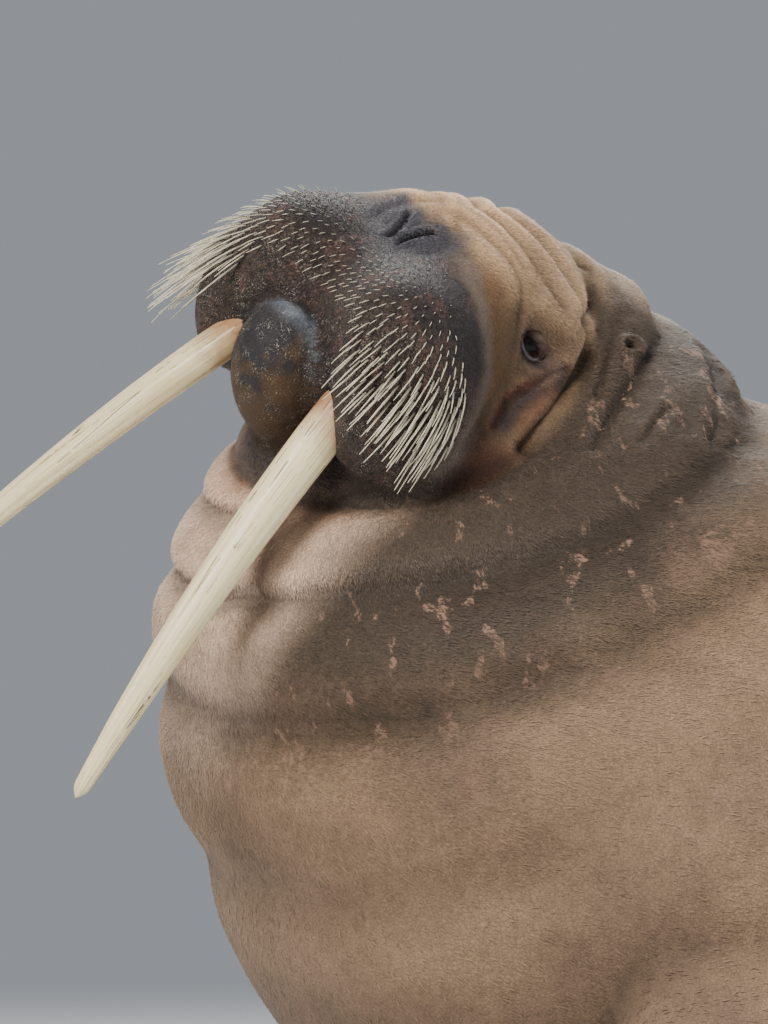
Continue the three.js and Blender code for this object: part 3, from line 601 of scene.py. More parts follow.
# An ear is a small cup with a low rim, where a ray from inside the head leaves the skin
def pressEar(points, normals, side):
    heading = unit(onSide(ear["heading"], side))
    offset = points - np.array(ear["from"], float)
    run = offset @ heading
    aside = np.linalg.norm(offset - run[:, None] * heading, axis=1)
    foot = points[np.argmin(np.where((run > 60) & (run < 260), aside, 1e9))]
    offset = points - foot
    gap = np.linalg.norm(offset, axis=1)
    middle = unit(normals[gap < 14].mean(0))
    backUp = np.array([-1, 0, 0.5])
    along = unit(backUp - middle * (backUp @ middle))
    across = np.cross(middle, along)
    level = np.hypot(offset @ along / ear["long"], offset @ across / ear["high"])
    height = ear["rim"] * hill(level - 1.25, 0.42) - ear["depth"] * (1 - smoothStep(level, 0.35, 1.05))
    return points + middle * (height * (gap < 60))[:, None]


# How far along a nostril's slit and beside it each point lies, and whether it is near
def slitPlace(inHead, side):
    lean = math.radians(nostril["lean"])
    along = unit(onSide((nostril["ahead"], math.sin(lean), math.cos(lean)), side))
    offset = inHead - onSide(nostril["at"], side)
    run = offset @ along
    bend = nostril["bend"] * (1 - (run / nostril["long"]) ** 2)
    aside = offset @ unit(np.cross(along, [1, 0, 0])) * side + bend - 2
    return run, aside, np.abs(offset).max(1) < 45


def pressSlit(inHead, normals, side):
    run, aside, near = slitPlace(inHead, side)
    length = 1 - smoothStep(np.abs(run), nostril["long"] * 0.75, nostril["long"] * 1.15)
    depth = nostril["depth"] * hill(aside, 3.0) * length
    lip = nostril["rim"] * hill(np.abs(aside) - 6.5, 3.2) * length
    return inHead + normals * ((lip - depth) * near)[:, None]


points = getPoints(skin)
inHead, normalsInHead = toHead(points), getNormals(skin) @ headAxes.T
for side in (1, -1):
    inHead = pressSocket(inHead, side)
    inHead = pressSlit(inHead, normalsInHead, side)
    inHead = pressEar(inHead, normalsInHead, side)
points = fromHead(inHead)
points[:, 2] = np.maximum(points[:, 2], skinStyle["floor"])
setPoints(skin, points)
for face in skin.data.polygons:
    face.use_smooth = True


def newMesh(name, points, faces):
    mesh = bpy.data.meshes.new(name)
    mesh.from_pydata((np.asarray(points) * milli).tolist(), [], faces)
    mesh.polygons.foreach_set("use_smooth", np.full(len(mesh.polygons), True))
    return mesh


def makePiece(name, points, faces):
    piece = addObject(name, newMesh(name, points, faces))
    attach(piece, "root")
    return piece


# Rings of points joined into a skin, also the last to the first where they close
def ringFaces(rings, across, closed=False):
    faces = []
    for ring in range(rings if closed else rings - 1):
        a, b = ring * across, (ring + 1) % rings * across
        for i in range(across):
            j = (i + 1) % across
            faces.append((a + i, a + j, b + j, b + i))
    return faces


# Rings between two end points, which come last
def podFaces(rings, across):
    start, last = (rings - 1) * across, rings * across
    near = [(last, (i + 1) % across, i) for i in range(across)]
    far = [(last + 1, start + i, start + (i + 1) % across) for i in range(across)]
    return ringFaces(rings, across) + near + far


# Rings from a flat foot to a point
def spineFaces(rings, across, first):
    last = (rings - 1) * across
    tip = [(last + i, last + (i + 1) % across, last + across) for i in range(across)]
    faces = ringFaces(rings, across) + tip + [tuple(reversed(range(across)))]
    return [tuple(first + index for index in face) for face in faces]


def fullTurn(count):
    return np.linspace(0, 2 * math.pi, count, endpoint=False)


# Colours in 0 to 255 made linear
def linear(colour):
    values = [part / 255 for part in colour]
    return np.array([part / 12.92 if part < 0.04045 else ((part + 0.055) / 1.055) ** 2.4 for part in values])


def setColours(piece, name, colours):
    layer = piece.data.color_attributes.new(name, "FLOAT_COLOR", "POINT")
    opaque = np.hstack([colours, np.ones((len(colours), 1))])
    layer.data.foreach_set("color", opaque.astype(np.float32).ravel())


# Eyes
eyeStyle = {"across": 48, "down": 24, "bulge": 1.6}


def addEye(side, name, node):
    slit, across, look = eyeAxes(side)
    middle = onSide(eye["at"], side)
    turnRound = fullTurn(eyeStyle["across"])
    ring = np.outer(np.cos(turnRound), slit) + np.outer(np.sin(turnRound), across)
    rows = []
    for down in range(1, eyeStyle["down"]):
        angle = math.pi * down / eyeStyle["down"]
        radius = eye["radius"] + eyeStyle["bulge"] * hill(angle, 0.5)
        rows.append(middle + radius * (look * math.cos(angle) + ring * math.sin(angle)))
    tips = [middle + look * (eye["radius"] + eyeStyle["bulge"]), middle - look * eye["radius"]]
    faces = podFaces(len(rows), eyeStyle["across"])
    piece = makePiece(name, fromHead(np.vstack(rows + [tips])), faces)
    editAll(piece, bpy.ops.mesh.normals_make_consistent, inside=False)
    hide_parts(node)
    return piece


eyes = [addEye(1, "eyeballLeft", "eye_left"), addEye(-1, "eyeballRight", "eye_right")]


# Lids: a fleshy ring round each eye, its upper side heavier, joined to the skin
lidStyle = {"out": 1.8, "thick": 3.4, "heavier": 2.2, "lower": 1.4, "thin": 2.4, "across": 72, "round": 14}


def addLids(side):
    slit, across, look = eyeAxes(side)
    middle = onSide(eye["at"], side)
    turnRound = fullTurn(lidStyle["across"])
    far = eye["radius"] + lidStyle["out"]
    wide, tall = eye["long"] * np.cos(turnRound), eye["high"] * np.sin(turnRound)
    upper = smoothStep(np.sin(turnRound), -0.2, 0.9)
    tall = tall - lidStyle["lower"] * upper
    out = np.sqrt(far**2 - wide**2 - tall**2)
    centre = middle + np.outer(wide, slit) + np.outer(tall, across) + np.outer(out, look)
    outward = unit(centre - middle)
    tangent = unit(np.roll(centre, -1, 0) - np.roll(centre, 1, 0))
    beside = unit(np.cross(outward, tangent))
    heavy = lidStyle["thick"] + lidStyle["heavier"] * upper
    thick = lerp(lidStyle["thin"], heavy, np.abs(np.sin(turnRound)))
    rows = []
    for step in range(lidStyle["round"]):
        angle = 2 * math.pi * step / lidStyle["round"]
        ripple = 1 + 0.06 * np.cos(3 * angle + 9 * turnRound)
        rows.append(centre + beside * (math.cos(angle) * thick * ripple)[:, None]
                    + outward * (math.sin(angle) * thick * 0.9 * ripple)[:, None])
    faces = ringFaces(lidStyle["round"], lidStyle["across"], closed=True)
    piece = addObject("lids", newMesh("lids", fromHead(np.vstack(rows)), faces))
    editAll(piece, bpy.ops.mesh.normals_make_consistent, inside=False)
    return piece


lids = [addLids(1), addLids(-1)]
activate(skin)
for piece in lids:
    piece.select_set(True)
bpy.context.view_layer.objects.active = skin
bpy.ops.object.join()
print("eyes and lids")


# Tusks
tusk = {
    "root": (130, 79, -181),
    "start": (0.14, 0.2, -1),
    "end": (-0.1, 0.19, -1),
    "sunk": 48,
    "length": 440,
    "radii": [21.5, 22, 20.6, 18.2, 15.4, 11.8, 7],
    "flatness": 0.82,
    "roll": -50,
    "across": 64,
    "rings": 150,
    "steps": 12,
}


def tuskLine(share):
    start, end = unit(np.array(tusk["start"])), unit(np.array(tusk["end"]))
    steps = tusk["steps"]
    whole = tusk["sunk"] + tusk["length"]
    here = np.array(tusk["root"]) - start * tusk["sunk"]
    control = []
    for i in range(steps + 1):
        control.append(here.copy())
        here = here + unit(lerp(start, end, i / steps)) * whole / steps
    dense = centripetal(control, 400)
    return np.stack([np.interp(share, np.linspace(0, 1, 400), dense[:, i]) for i in range(3)], 1)


# The tusk's own map has the way round it and the way along it, with its seam opened
def mapTusk(piece, share):
    count = tusk["across"]
    mesh = piece.data
    layer = mesh.uv_layers.new(name="tuskMap")
    around = np.concatenate([np.tile(np.arange(count) / count, tusk["rings"]), [0, 0]])
    along = np.concatenate([np.repeat(share, count), [0, 1]])
    corners = readAll(mesh.loops, "vertex_index", 1, int)
    flat = np.stack([around[corners], along[corners]], 1)
    starts = readAll(mesh.polygons, "loop_start", 1, int)
    for first, size in zip(starts, readAll(mesh.polygons, "loop_total", 1, int)):
        part = flat[first:first + size, 0]
        if part.max() - part.min() > 0.5:
            part[part < 0.5] += 1
    layer.data.foreach_set("uv", flat.ravel())


def addTusk(side, name, node):
    share = 1 - (1 - np.linspace(0, 1, tusk["rings"])) ** 1.5
    line = tuskLine(share)
    tangent = unit(np.gradient(line, axis=0))
    across = unit(np.array([0, 1, 0]) - tangent * tangent[:, 1:2])
    other = np.cross(tangent, across)
    radius = np.interp(share, np.linspace(0, 1, len(tusk["radii"])), tusk["radii"])
    tip = smoothStep(share, 0.965, 1.0)
    radius = radius * np.sqrt(np.maximum(1 - tip**2, 0.0004))
    turnRound = fullTurn(tusk["across"])
    roll = math.radians(tusk["roll"])
    rows = []
    for i in range(tusk["rings"]):
        groove = 0.35 * np.cos(5 * turnRound + 0.7) + 0.2 * np.cos(11 * turnRound + 4 * share[i])
        size = radius[i] + groove * min(1, radius[i] / 12)
        short, broad = np.cos(turnRound) * size * tusk["flatness"], np.sin(turnRound) * size
        rows.append(line[i] + np.outer(short * math.cos(roll) + broad * math.sin(roll), across[i])
                    + np.outer(broad * math.cos(roll) - short * math.sin(roll), other[i]))
    points = np.vstack(rows + [[line[0], line[-1] + tangent[-1] * 1.5]]) * (1, side, 1)
    faces = podFaces(tusk["rings"], tusk["across"])
    if side < 0:
        faces = [face[::-1] for face in faces]
    piece = makePiece(name, fromHead(points), faces)
    mapTusk(piece, share)
    editAll(piece, bpy.ops.mesh.normals_make_consistent, inside=False)
    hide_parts(node)
    return piece


tusks = [addTusk(1, "tuskLeft", "tusk_left"), addTusk(-1, "tuskRight", "tusk_right")]
print("tusks")

# Whiskers: rows over each pad, from short and upright by the nose to long and lying down by the lip.
# The lists go down the pad, by height in the head's frame.
whiskers = {
    "rowGap": 8.0,
    "spacing": 10.2,
    "top": -12,
    "bottom": -152,
    "axis": (104, 80),
    "heights": [-10, -30, -45, -62, -80, -100, -119, -130, -146],
    "inner": [-16, -42, -52, -50, -50, -44, -30, 0, 30],  # degrees round the pad
    "outer": [-5, 22, 45, 65, 97, 102, 112, 112, 112],
    "lay": [-0.5, -0.1, 0.15, 0.5, 0.75, 1.2, 1.9, 2.4, 2.6],
    "lengths": [5, 5.5, 6, 7.5, 10, 16, 28, 40, 42],
    "radius": [0.48, 0.5, 0.52, 0.58, 0.68, 0.85, 1.08, 1.2, 1.2],
    "bend": 0.2,
    "sunk": 3,
    "sides": 6,
    "steps": 10,
    "collar": 1.6,
    "rightLonger": 1.35,
    "lipGap": 10,
    "tuskGap": 6,
    "clear": 1.5,  # kept between a hair and lip or tusk
    "dark": (30, 24, 23),
    "pale": (212, 202, 176),
}
skinTree = BVHTree.FromObject(skin, bpy.context.evaluated_depsgraph_get())
chance = np.random.default_rng(7)


def atHeight(name, height):
    return float(np.interp(-height, [-value for value in whiskers["heights"]], whiskers[name]))


def castOut(start, direction):
    hit = skinTree.ray_cast(Vector(fromHead(start) * milli), Vector(direction @ headAxes), 0.3)
    if hit[0] is None:
        return None, None
    return toHead(np.array(hit[0]) / milli), np.array(hit[1]) @ headAxes.T


def tuskGap(point):
    start = unit(np.array(tusk["start"]))
    offset = toLeft(point) - np.array(tusk["root"])
    run = max(offset @ start, -tusk["sunk"])
    return np.linalg.norm(offset - start * run) - tusk["radii"][1]


# How far forward the muzzle's dark skin begins, at each height in the head's frame
darkFrom = {
    "heights": [-140, -120, -88, -57, -31, -6, 12, 25, 42],
    "ahead": [44, 46, 50, 62, 86, 110, 118, 121, 120],
}


def darkStart(height):
    return np.interp(height, darkFrom["heights"], darkFrom["ahead"])


# A hair in its collar: points ring by ring, and how pale each ring is
def addHair(foot, direction, fall, length, thick, crust):
    t = np.linspace(0, 1, whiskers["steps"])[:, None]
    root = foot - direction * whiskers["sunk"]
    line = root + direction * (length + whiskers["sunk"]) * t + fall * length * t * t
    radii = thick * (1 - 0.7 * t[:, 0] ** 1.4) * (1 + crust * chance.uniform(-1, 1, len(t)))
    beside = unit(np.cross(direction, [1.0, 0.3, 0.2]))
    other = np.cross(direction, beside)
    angle = fullTurn(whiskers["sides"])
    turned = np.outer(np.cos(angle), beside) + np.outer(np.sin(angle), other)
    collar = foot - direction * 1.5 + turned * whiskers["collar"]
    rings = [collar, foot + direction * 0.7 + turned * (thick + 0.2)]
    rings += [spot + radius * turned for spot, radius in zip(line[1:], radii[1:])]
    tones = [0.0, 0.0] + list(np.clip(0.1 + 1.5 * t[1:, 0], 0, 1))
    points = np.vstack(rings + [[line[-1] + (line[-1] - line[-2]) * 0.15]])
    return points, np.repeat(tones, whiskers["sides"]).tolist() + [1.0]


def isBare(foot, normal, side):
    if foot[1] * side < 2 or lipField(foot[None])[0] < whiskers["lipGap"]:
        return True
    if tuskGap(foot) < whiskers["tuskGap"]:
        return True
    if foot[2] < -98 and normal[1] * side < -0.05:  # the pad's inner side, by the lip
        return True
    return foot[0] < darkStart(foot[2]) + 8


def addWhiskers(side, name):
    points, faces, tones = [], [], []
    count = 0
    clear = whiskers["clear"]
    rowHeights = np.arange(whiskers["top"], whiskers["bottom"], -whiskers["rowGap"])
    for row, height in enumerate(rowHeights):
        bearing = atHeight("inner", height) + row % 2 * 3 + chance.uniform(-2, 2)
        while bearing < atHeight("outer", height):
            heading = math.radians(bearing + chance.uniform(-1.6, 1.6))
            start = onSide((*whiskers["axis"], height + chance.uniform(-1.6, 1.6)), side)
            foot, normal = castOut(start, onSide((math.cos(heading), math.sin(heading), 0), side))
            if foot is None:
                bearing += 6
                continue
            here = bearing
            gap = whiskers["spacing"] * chance.uniform(0.88, 1.12)
            bearing += math.degrees(gap / max(np.linalg.norm(foot - start), 40))
            if isBare(foot, normal, side):
                continue
            lower = height - 0.4 * (here - 20)  # the outer hairs are as those further down
            length = atHeight("lengths", lower) * chance.uniform(0.75, 1.25) * (0.5 if here > 100 else 1)
            length *= 1.0 if side > 0 else whiskers["rightLonger"]
            lay = atHeight("lay", height) * chance.uniform(0.85, 1.15)
            lean = np.array([0.12, 0.05 * side, -lay]) + chance.uniform(-0.08, 0.08, 3)
            direction = unit(normal * (1, 1, 0.35) + lean)
            fall = np.array([0, 0, -whiskers["bend"]]) - normal * 0.1 + chance.uniform(-0.07, 0.07, 3)
            line = foot + direction * length * np.linspace(0.25, 1, 6)[:, None]
            if any(lipField(spot[None])[0] < clear or tuskGap(spot) < clear for spot in line):
                continue
            crust = 0.08 if lower > -80 else 0.24
            hair, tone = addHair(foot, direction, fall, length, atHeight("radius", lower), crust)
            points.append(hair)
            faces += spineFaces(whiskers["steps"] + 1, whiskers["sides"], count)
            tones += tone
            count += len(hair)
    piece = makePiece(name, fromHead(np.vstack(points)), faces)
    pale = np.array(tones)[:, None]
    setColours(piece, "tone", linear(whiskers["dark"]) * (1 - pale) + linear(whiskers["pale"]) * pale)
    return piece


# Claws: five small nails on each flipper's back
claws = {
    "length": 26,
    "radius": 5.2,
    "flat": 0.7,
    "rise": 0.22,
    "bend": 0.14,
    "sunk": 8,
    "sides": 12,
    "steps": 9,
    "digits": (-1, -0.5, 0, 0.5, 1),
    # middle of the row, sideways and back from the head; the way the nails point; half the row's width
    "rows": [((604, 290), (78, 184, -26), 81), ((280, 2520), (30, 250, -18), 100)],
}


# A nail where a ray from above meets the flipper
def addNail(spot, onward, beside):
    hit = skinTree.ray_cast(Vector(spot * milli), Vector((0, 0, -1)), 1.0)
    if hit[0] is None:
        return None

    t = np.linspace(0, 1, claws["steps"])
    angle = fullTurn(claws["sides"])
    heading = unit(onward + (0, 0, claws["rise"]))
    root = np.array(hit[0]) / milli - heading * claws["sunk"] - (0, 0, 1.5)
    line = root + np.outer(t, heading) * (claws["length"] + claws["sunk"])
    line -= np.outer(t * t, [0, 0, claws["bend"] * claws["length"]])
    upward = np.cross(heading, beside)
    ring = np.outer(np.cos(angle), beside) + np.outer(np.sin(angle), upward) * claws["flat"]
    rows = []
    for place, share in zip(line, t):
        rows.append(place + ring * (claws["radius"] * math.sqrt(max(1 - share**2.2, 0)) + 0.3))
    return np.vstack(rows + [line[-1:] + heading * 0.6])


def addClaws(side, name):
    points, faces = [], []
    for (x, y), onward, reach in claws["rows"]:
        onward = unit(np.array(onward, float) * (side, 1, 1))
        beside = unit(np.cross([0, 0, 1.0], onward))
        for digit in claws["digits"]:
            spot = np.array([x * side, y + headOrigin[1], 400]) + beside * reach * digit
            nail = addNail(spot, onward, beside)
            if nail is not None:
                faces += spineFaces(claws["steps"], claws["sides"], sum(len(part) for part in points))
                points.append(nail)
    piece = makePiece(name, np.vstack(points), faces)
    editAll(piece, bpy.ops.mesh.normals_make_consistent, inside=False)
    return piece


clawPieces = [addClaws(1, "clawsLeft"), addClaws(-1, "clawsRight")]
print("claws", [len(piece.data.polygons) for piece in clawPieces])

whiskerPieces = [addWhiskers(1, "whiskersLeft"), addWhiskers(-1, "whiskersRight")]
print("whiskers", [len(piece.data.polygons) for piece in whiskerPieces])


# Markings: what colour and finish the hide has at each place, the same for skin and coat; with painted shade
# in folds, hollows, nostrils, eye sockets and the low cheek, painted light on what is raised, and a painted
# wet sheen on the lip
hideShades = {
    "crown": (150, 123, 94), "forehead": (204, 168, 126), "cheek": (108, 86, 64), "cheekLowPaintedShade": (80, 50, 36),
    "tan": (104, 77, 52), "padUp": (43, 37, 35), "pad": (66, 53, 46), "padPink": (104, 70, 62),
    "padEdge": (112, 97, 86), "nose": (68, 66, 71), "inside": (10, 8, 8), "lip": (46, 43, 44),
    "lipEdge": (78, 59, 40), "lipRim": (84, 58, 48), "lipWetPaintedSheen": (112, 118, 128), "neck": (70, 58, 47),
    "nape": (132, 112, 88), "scar": (156, 122, 102), "throat": (186, 160, 138), "throatDark": (168, 130, 104),
    "body": (138, 112, 88), "bodyDark": (104, 84, 68), "bodyPink": (166, 122, 102), "limb": (92, 76, 65),
    "lid": (52, 40, 35), "lidRim": (104, 104, 114), "socket": (96, 76, 60), "crease": (40, 27, 20),
    "band": (44, 38, 42), "bandRed": (118, 62, 40), "cheekRed": (112, 74, 52),
}
hide = {name: linear(shade) for name, shade in hideShades.items()}
# Painted lines on lip and cheek, in the head's frame; the lip's line is a painted wet sheen
stripes = {
    "lipWetPaintedSheen": [(200, 0, -134), (187, 20, -134), (172, 38, -146), (158, 52, -162)],
    "band": [(-16, 126, -4), (-10, 131, -17), (2, 135, -37), (13, 139, -59), (22, 148, -80)],
    "cheekRed": [(-14, 137, -24), (-4, 146, -42), (6, 151, -66)],
}


def paint(colours, name, share):
    return colours + (hide[name] - colours) * np.clip(share, 0, 1)[:, None]


# Where a point is on the eye's oval, and how far above its middle
def eyeLevel(left):
    slit, across, _ = eyeAxes(1)
    offset = left - np.array(eye["at"], float)
    return np.hypot(offset @ slit / eye["long"], offset @ across / eye["high"]), offset @ across


# Painted shade inside the nostrils, where they are dark
def nostrilShadeShare(left):
    run, aside, near = slitPlace(left, 1)
    ends = smoothStep(np.abs(run), nostril["long"] * 0.7, nostril["long"] * 1.1)
    return hill(aside, 3.4) * (1 - ends) * near


def markingsAndPaintedLight(points, hollow):
    inHead = toHead(points)
    left, level = toLeft(inHead), reachLevel(inHead)
    forward, side, up = left.T
    wobble = layeredNoise(points, 40, 41, 3)
    ragged = layeredNoise(points, 14, 57, 3)
    colours = np.tile(hide["body"], (len(points), 1))
    colours = paint(colours, "bodyDark", smoothStep(layeredNoise(points, 160, 43, 3), -0.1, 0.5) * 0.7)
    colours = paint(colours, "bodyPink", smoothStep(layeredNoise(points, 90, 47, 3), 0.2, 0.6) * 0.5)
    colours = paint(colours, "limb", 1 - smoothStep(points[:, 2], 60, 260))

    # neck and throat
    neckShare = 1 - smoothStep(level + 0.12 * wobble, 1.7, 2.5)
    colours = paint(colours, "neck", neckShare)
    ridge = (1 - smoothStep(side + 24 * wobble, 34, 92)) * smoothStep(up, 20, 70)
    colours = paint(colours, "nape", neckShare * ridge)
    throat = (1 - smoothStep(up + 20 * wobble, -190, -130)) * (1 - smoothStep(side, 120, 190))
    colours = paint(colours, "throat", throat * (1 - smoothStep(level, 1.6, 2.6)))
    colours = paint(colours, "throatDark", throat * (1 - smoothStep(level, 0.95, 1.2)) * (0.7 + ragged))

    # face and brow, with painted shade on the lower cheek
    face = 1 - smoothStep(level + 0.03 * wobble, 0.98, 1.04)
    colours = paint(colours, "cheek", face)
    # painted shade: the lower part of the face is darkened
    colours = paint(colours, "cheekLowPaintedShade", face * (1 - smoothStep(up + 16 * wobble, -120, -60)))
    colours = paint(colours, "crown", face * smoothStep(up + 14 * wobble, 18, 60))
    start = darkStart(up) + 12 * hill(side, 34) * smoothStep(up, -20, 10)
    ahead = forward - start + 7 * ragged + 4 * wobble
    brow = smoothStep(up + 10 * wobble, -10, 30) * smoothStep(forward, 30, 90)
    colours = paint(colours, "forehead", face * brow * 0.75)
    rim = face * hill(ahead + 26, 30) * smoothStep(up, -110, -40) * (1 - 0.75 * smoothStep(up, 8, 34))
    colours = paint(colours, "tan", rim * 0.85)

    # pads and nose
    dark = smoothStep(ahead, -9, 9) * face * (up > -214)
    colours = paint(colours, "padEdge", smoothStep(ahead, -14, 6) * face * 0.9)
    full = smoothStep(ahead, 10, 44) * face
    colours = paint(colours, "pad", full)
    colours = paint(colours, "padUp", full * smoothStep(up + 10 * wobble, -90, -50))
    pink = smoothStep(layeredNoise(points, 13, 53, 3), 0.12, 0.42) * smoothStep(ahead, 8, 40)
    colours = paint(colours, "padPink", dark * pink * 0.4)
    noseEdge = up + 6 * wobble + 8 * ragged - 0.5 * np.maximum(side - 20, 0)
    nose = dark * smoothStep(noseEdge, -42, -24) * (1 - smoothStep(side, 42, 66)) * (forward > 90)
    colours = paint(colours, "nose", nose)

    # lower lip, with a painted wet sheen along a streak
    lipValue, headValue = lipField(inHead), headField(inHead)
    lip = (1 - smoothStep(lipValue - headValue, -1, 2)) * (1 - smoothStep(lipValue, 5, 10)) * (forward > 40)
    border = hill(headValue - lipValue + 4, 7) * (forward > 70) * (up < -100) * (1 - lip)
    colours = paint(colours, "lipRim", border * 0.8)
    middle = hill(side, 30) * smoothStep(up + 12 * ragged, -232, -176)
    colours = paint(colours, "lipEdge", lip)
    colours = paint(colours, "lip", lip * smoothStep(middle + 0.5 * ragged, 0.1, 0.6))
    # painted highlight: a pale wet sheen along the lip's streak, which is also made less rough
    streak = hill(pathDistance(left, stripes["lipWetPaintedSheen"]) + 4 * ragged, 10)
    colours = paint(colours, "lipWetPaintedSheen", lip * streak * 0.75)

    # cheek, nostrils and lids, with painted shade in the nostrils and round the eye socket
    bandGap = pathDistance(left, stripes["band"]) + 2 * ragged
    underEye = hill(pathDistance(left, creases["underEye"][0]) + 3 * ragged, 5)
    redPatch = hill(pathDistance(left, stripes["cheekRed"]) + 4 * ragged, 9)
    colours = paint(colours, "bandRed", underEye * 0.85)
    colours = paint(colours, "band", np.sqrt(hill(bandGap, 8)) * 0.95)
    colours = paint(colours, "cheekRed", redPatch * 0.6)
    # painted shade inside the nostrils
    colours = paint(colours, "inside", nostrilShadeShare(left))
    opening, above = eyeLevel(left)
    onFace = level < 1
    # painted shade round the eye socket
    colours = paint(colours, "socket", (1 - smoothStep(opening + 0.4 * ragged, 1.7, 2.6)) * onFace * 0.7)
    lidShare = (1 - smoothStep(opening + 0.2 * ragged, 1.4, 1.75)) * onFace
    upperLid = smoothStep(above, 0, 6) * smoothStep(opening, 0.9, 1.2)
    colours = paint(colours, "lid", lidShare * (0.9 - 0.5 * upperLid))
    colours = paint(colours, "lidRim", hill(opening - 0.92, 0.08) * (above < -2) * onFace * 0.5)

    # painted shade in the folds' bottoms and in hollows, and painted light on what is raised
    line = np.zeros(len(points))
    sway = foldWobble(left)
    for path, depth, width in creases.values():
        gap = np.abs(pathDistance(left, path) + sway)
        line = np.maximum(line, np.exp(-gap / (width * 0.8)) * min(1, depth / 6))
    # painted shade: the creases' bottoms are darkened
    colours = paint(colours, "crease", line * 0.95)
    # painted shade in hollows and painted light on raised skin, by how hollow each point is
    colours = colours * (1 - np.clip(hollow, -0.35, 0.6))[:, None]
    wet = np.clip(lip * (0.3 + streak) + 0.3 * nose + lidShare, 0, 1)
    scars = neckShare * (1 - face) * smoothStep(side, 70, 130) * (1 - throat)
    sandyPad = dark * (1 - smoothStep(up + 14 * wobble, -110, -60)) * 0.8
    sand = np.clip(lip * (1 - 0.6 * streak) + sandyPad, 0, 1)
    finish = np.stack([full * (1 - nose * 0.6) * (1 - lip), wet, scars], 1)
    return colours * (1 + 0.1 * wobble)[:, None], finish, np.stack([sand, line, nose], 1)


# How hollow or raised the skin is at each point, from -1 to 1 and more
def hollowness(piece):
    edges, points = getEdges(piece), getPoints(piece)
    smooth = points
    for _ in range(5):
        smooth = averageAround(smooth, edges)
    edge = np.linalg.norm(points[edges[:, 0]] - points[edges[:, 1]], axis=1)
    total = np.bincount(edges.ravel(), np.repeat(edge, 2), len(points))
    size = total / np.bincount(edges.ravel(), minlength=len(points))
    return ((smooth - points) * getNormals(piece)).sum(1) / (0.75 * size + 1)


colours, finish, extra = markingsAndPaintedLight(getPoints(skin), hollowness(skin))
setColours(skin, "markingsAndPaintedLight", colours)
setColours(skin, "finish", finish)
setColours(skin, "extra", extra)
print("markingsAndPaintedLight")

# Coat: short tufts over the hide, lying back from the nose and along the body. "from" and "to" are how
# far from the head's middle each piece reaches, 1 at the head's edge.
coat = {
    "coatFace": {"from": 0.0, "to": 1.03, "length": (2.4, 4.2), "width": 0.5,
                 "lift": 0.34, "tip": 1.35, "vary": 0.36},
    "coatCrown": {"from": 0.0, "to": 1.15, "length": (3.0, 5.6), "width": 0.5,
                  "lift": 0.45, "tip": 1.6, "vary": 0.36},
    "coatNeck": {"from": 1.0, "to": 1.55, "length": (3.4, 6.0), "width": 0.65,
                 "lift": 0.28, "tip": 1.5, "vary": 0.36},
    "coatShoulder": {"from": 1.55, "to": 2.6, "length": (5.0, 8.0), "width": 0.95,
                     "lift": 0.22, "tip": 1.15, "vary": 0.2},
    "coatBody": {"from": 2.6, "to": 99, "length": (7, 11), "width": 1.6,
                 "lift": 0.16, "tip": 1.1, "vary": 0.16},
}
tuft = {
    "count": 62000,
    "sunk": 0.4,
    "turn": 0.28,
    "patch": 0.0015,  # half of its patch on the map
    # its five points: two at the root, two in the middle and the tip
    "lighter": np.array([0, 0, 0.35, 0.35, 1]),
    "paler": np.array([0, 0, 0.12, 0.12, 0.35]),
    "spots": np.array([(-1, -1), (1, -1), (0.6, 0.3), (-0.6, 0.3), (-0.6, 0.3), (0.6, 0.3), (0, 1)]),
}


def lieOfCoat(points, normals):
    inHead = toHead(points)
    fromNose = unit(inHead - (150, 0, 10)) @ headAxes
    back = unit(np.array([0.0, 1.0, -0.25]) + points * (0.0006, 0, 0))
    share = smoothStep(reachLevel(inHead), 1.0, 2.0)[:, None]
    lie = fromNose * (1 - share) + back * share
    return unit(lie - normals * (lie * normals).sum(1)[:, None])


def triangleTable(piece):
    mesh = piece.data
    mesh.calc_loop_triangles()
    corners = readAll(mesh.loop_triangles, "vertices", 3, int)
    loops = readAll(mesh.loop_triangles, "loops", 3, int)
    return corners, readAll(mesh.uv_layers.active.data, "uv", 2)[loops]


editAll(skin, bpy.ops.uv.smart_project, angle_limit=math.radians(66), island_margin=0.002)
print("unwrapped")
skinPoints, skinNormals = getPoints(skin), getNormals(skin)
corners, cornerUvs = triangleTable(skin)
edgeOne = skinPoints[corners[:, 1]] - skinPoints[corners[:, 0]]
edgeTwo = skinPoints[corners[:, 2]] - skinPoints[corners[:, 0]]
areas = np.linalg.norm(np.cross(edgeOne, edgeTwo), axis=1) / 2
centres = skinPoints[corners].mean(1)
centresInHead = toHead(centres)
bare = finish[corners].mean(1)
faceLevel = reachLevel(centresInHead)


def coatShare(name, style):
    share = ((faceLevel >= style["from"]) & (faceLevel < style["to"])).astype(float)
    share *= 1 - 0.93 * np.clip(bare[:, 0] * 1.2 + bare[:, 1], 0, 1)
    share *= smoothStep(sideDistance(centresInHead, eye["at"]), 20, 27)
    share *= centres[:, 2] > 12
    if name == "coatCrown":
        share *= smoothStep(centresInHead[:, 2], -10, 50)
    if name == "coatBody":
        share *= 1 - 0.6 * (centres[:, 2] < 90)
    return share


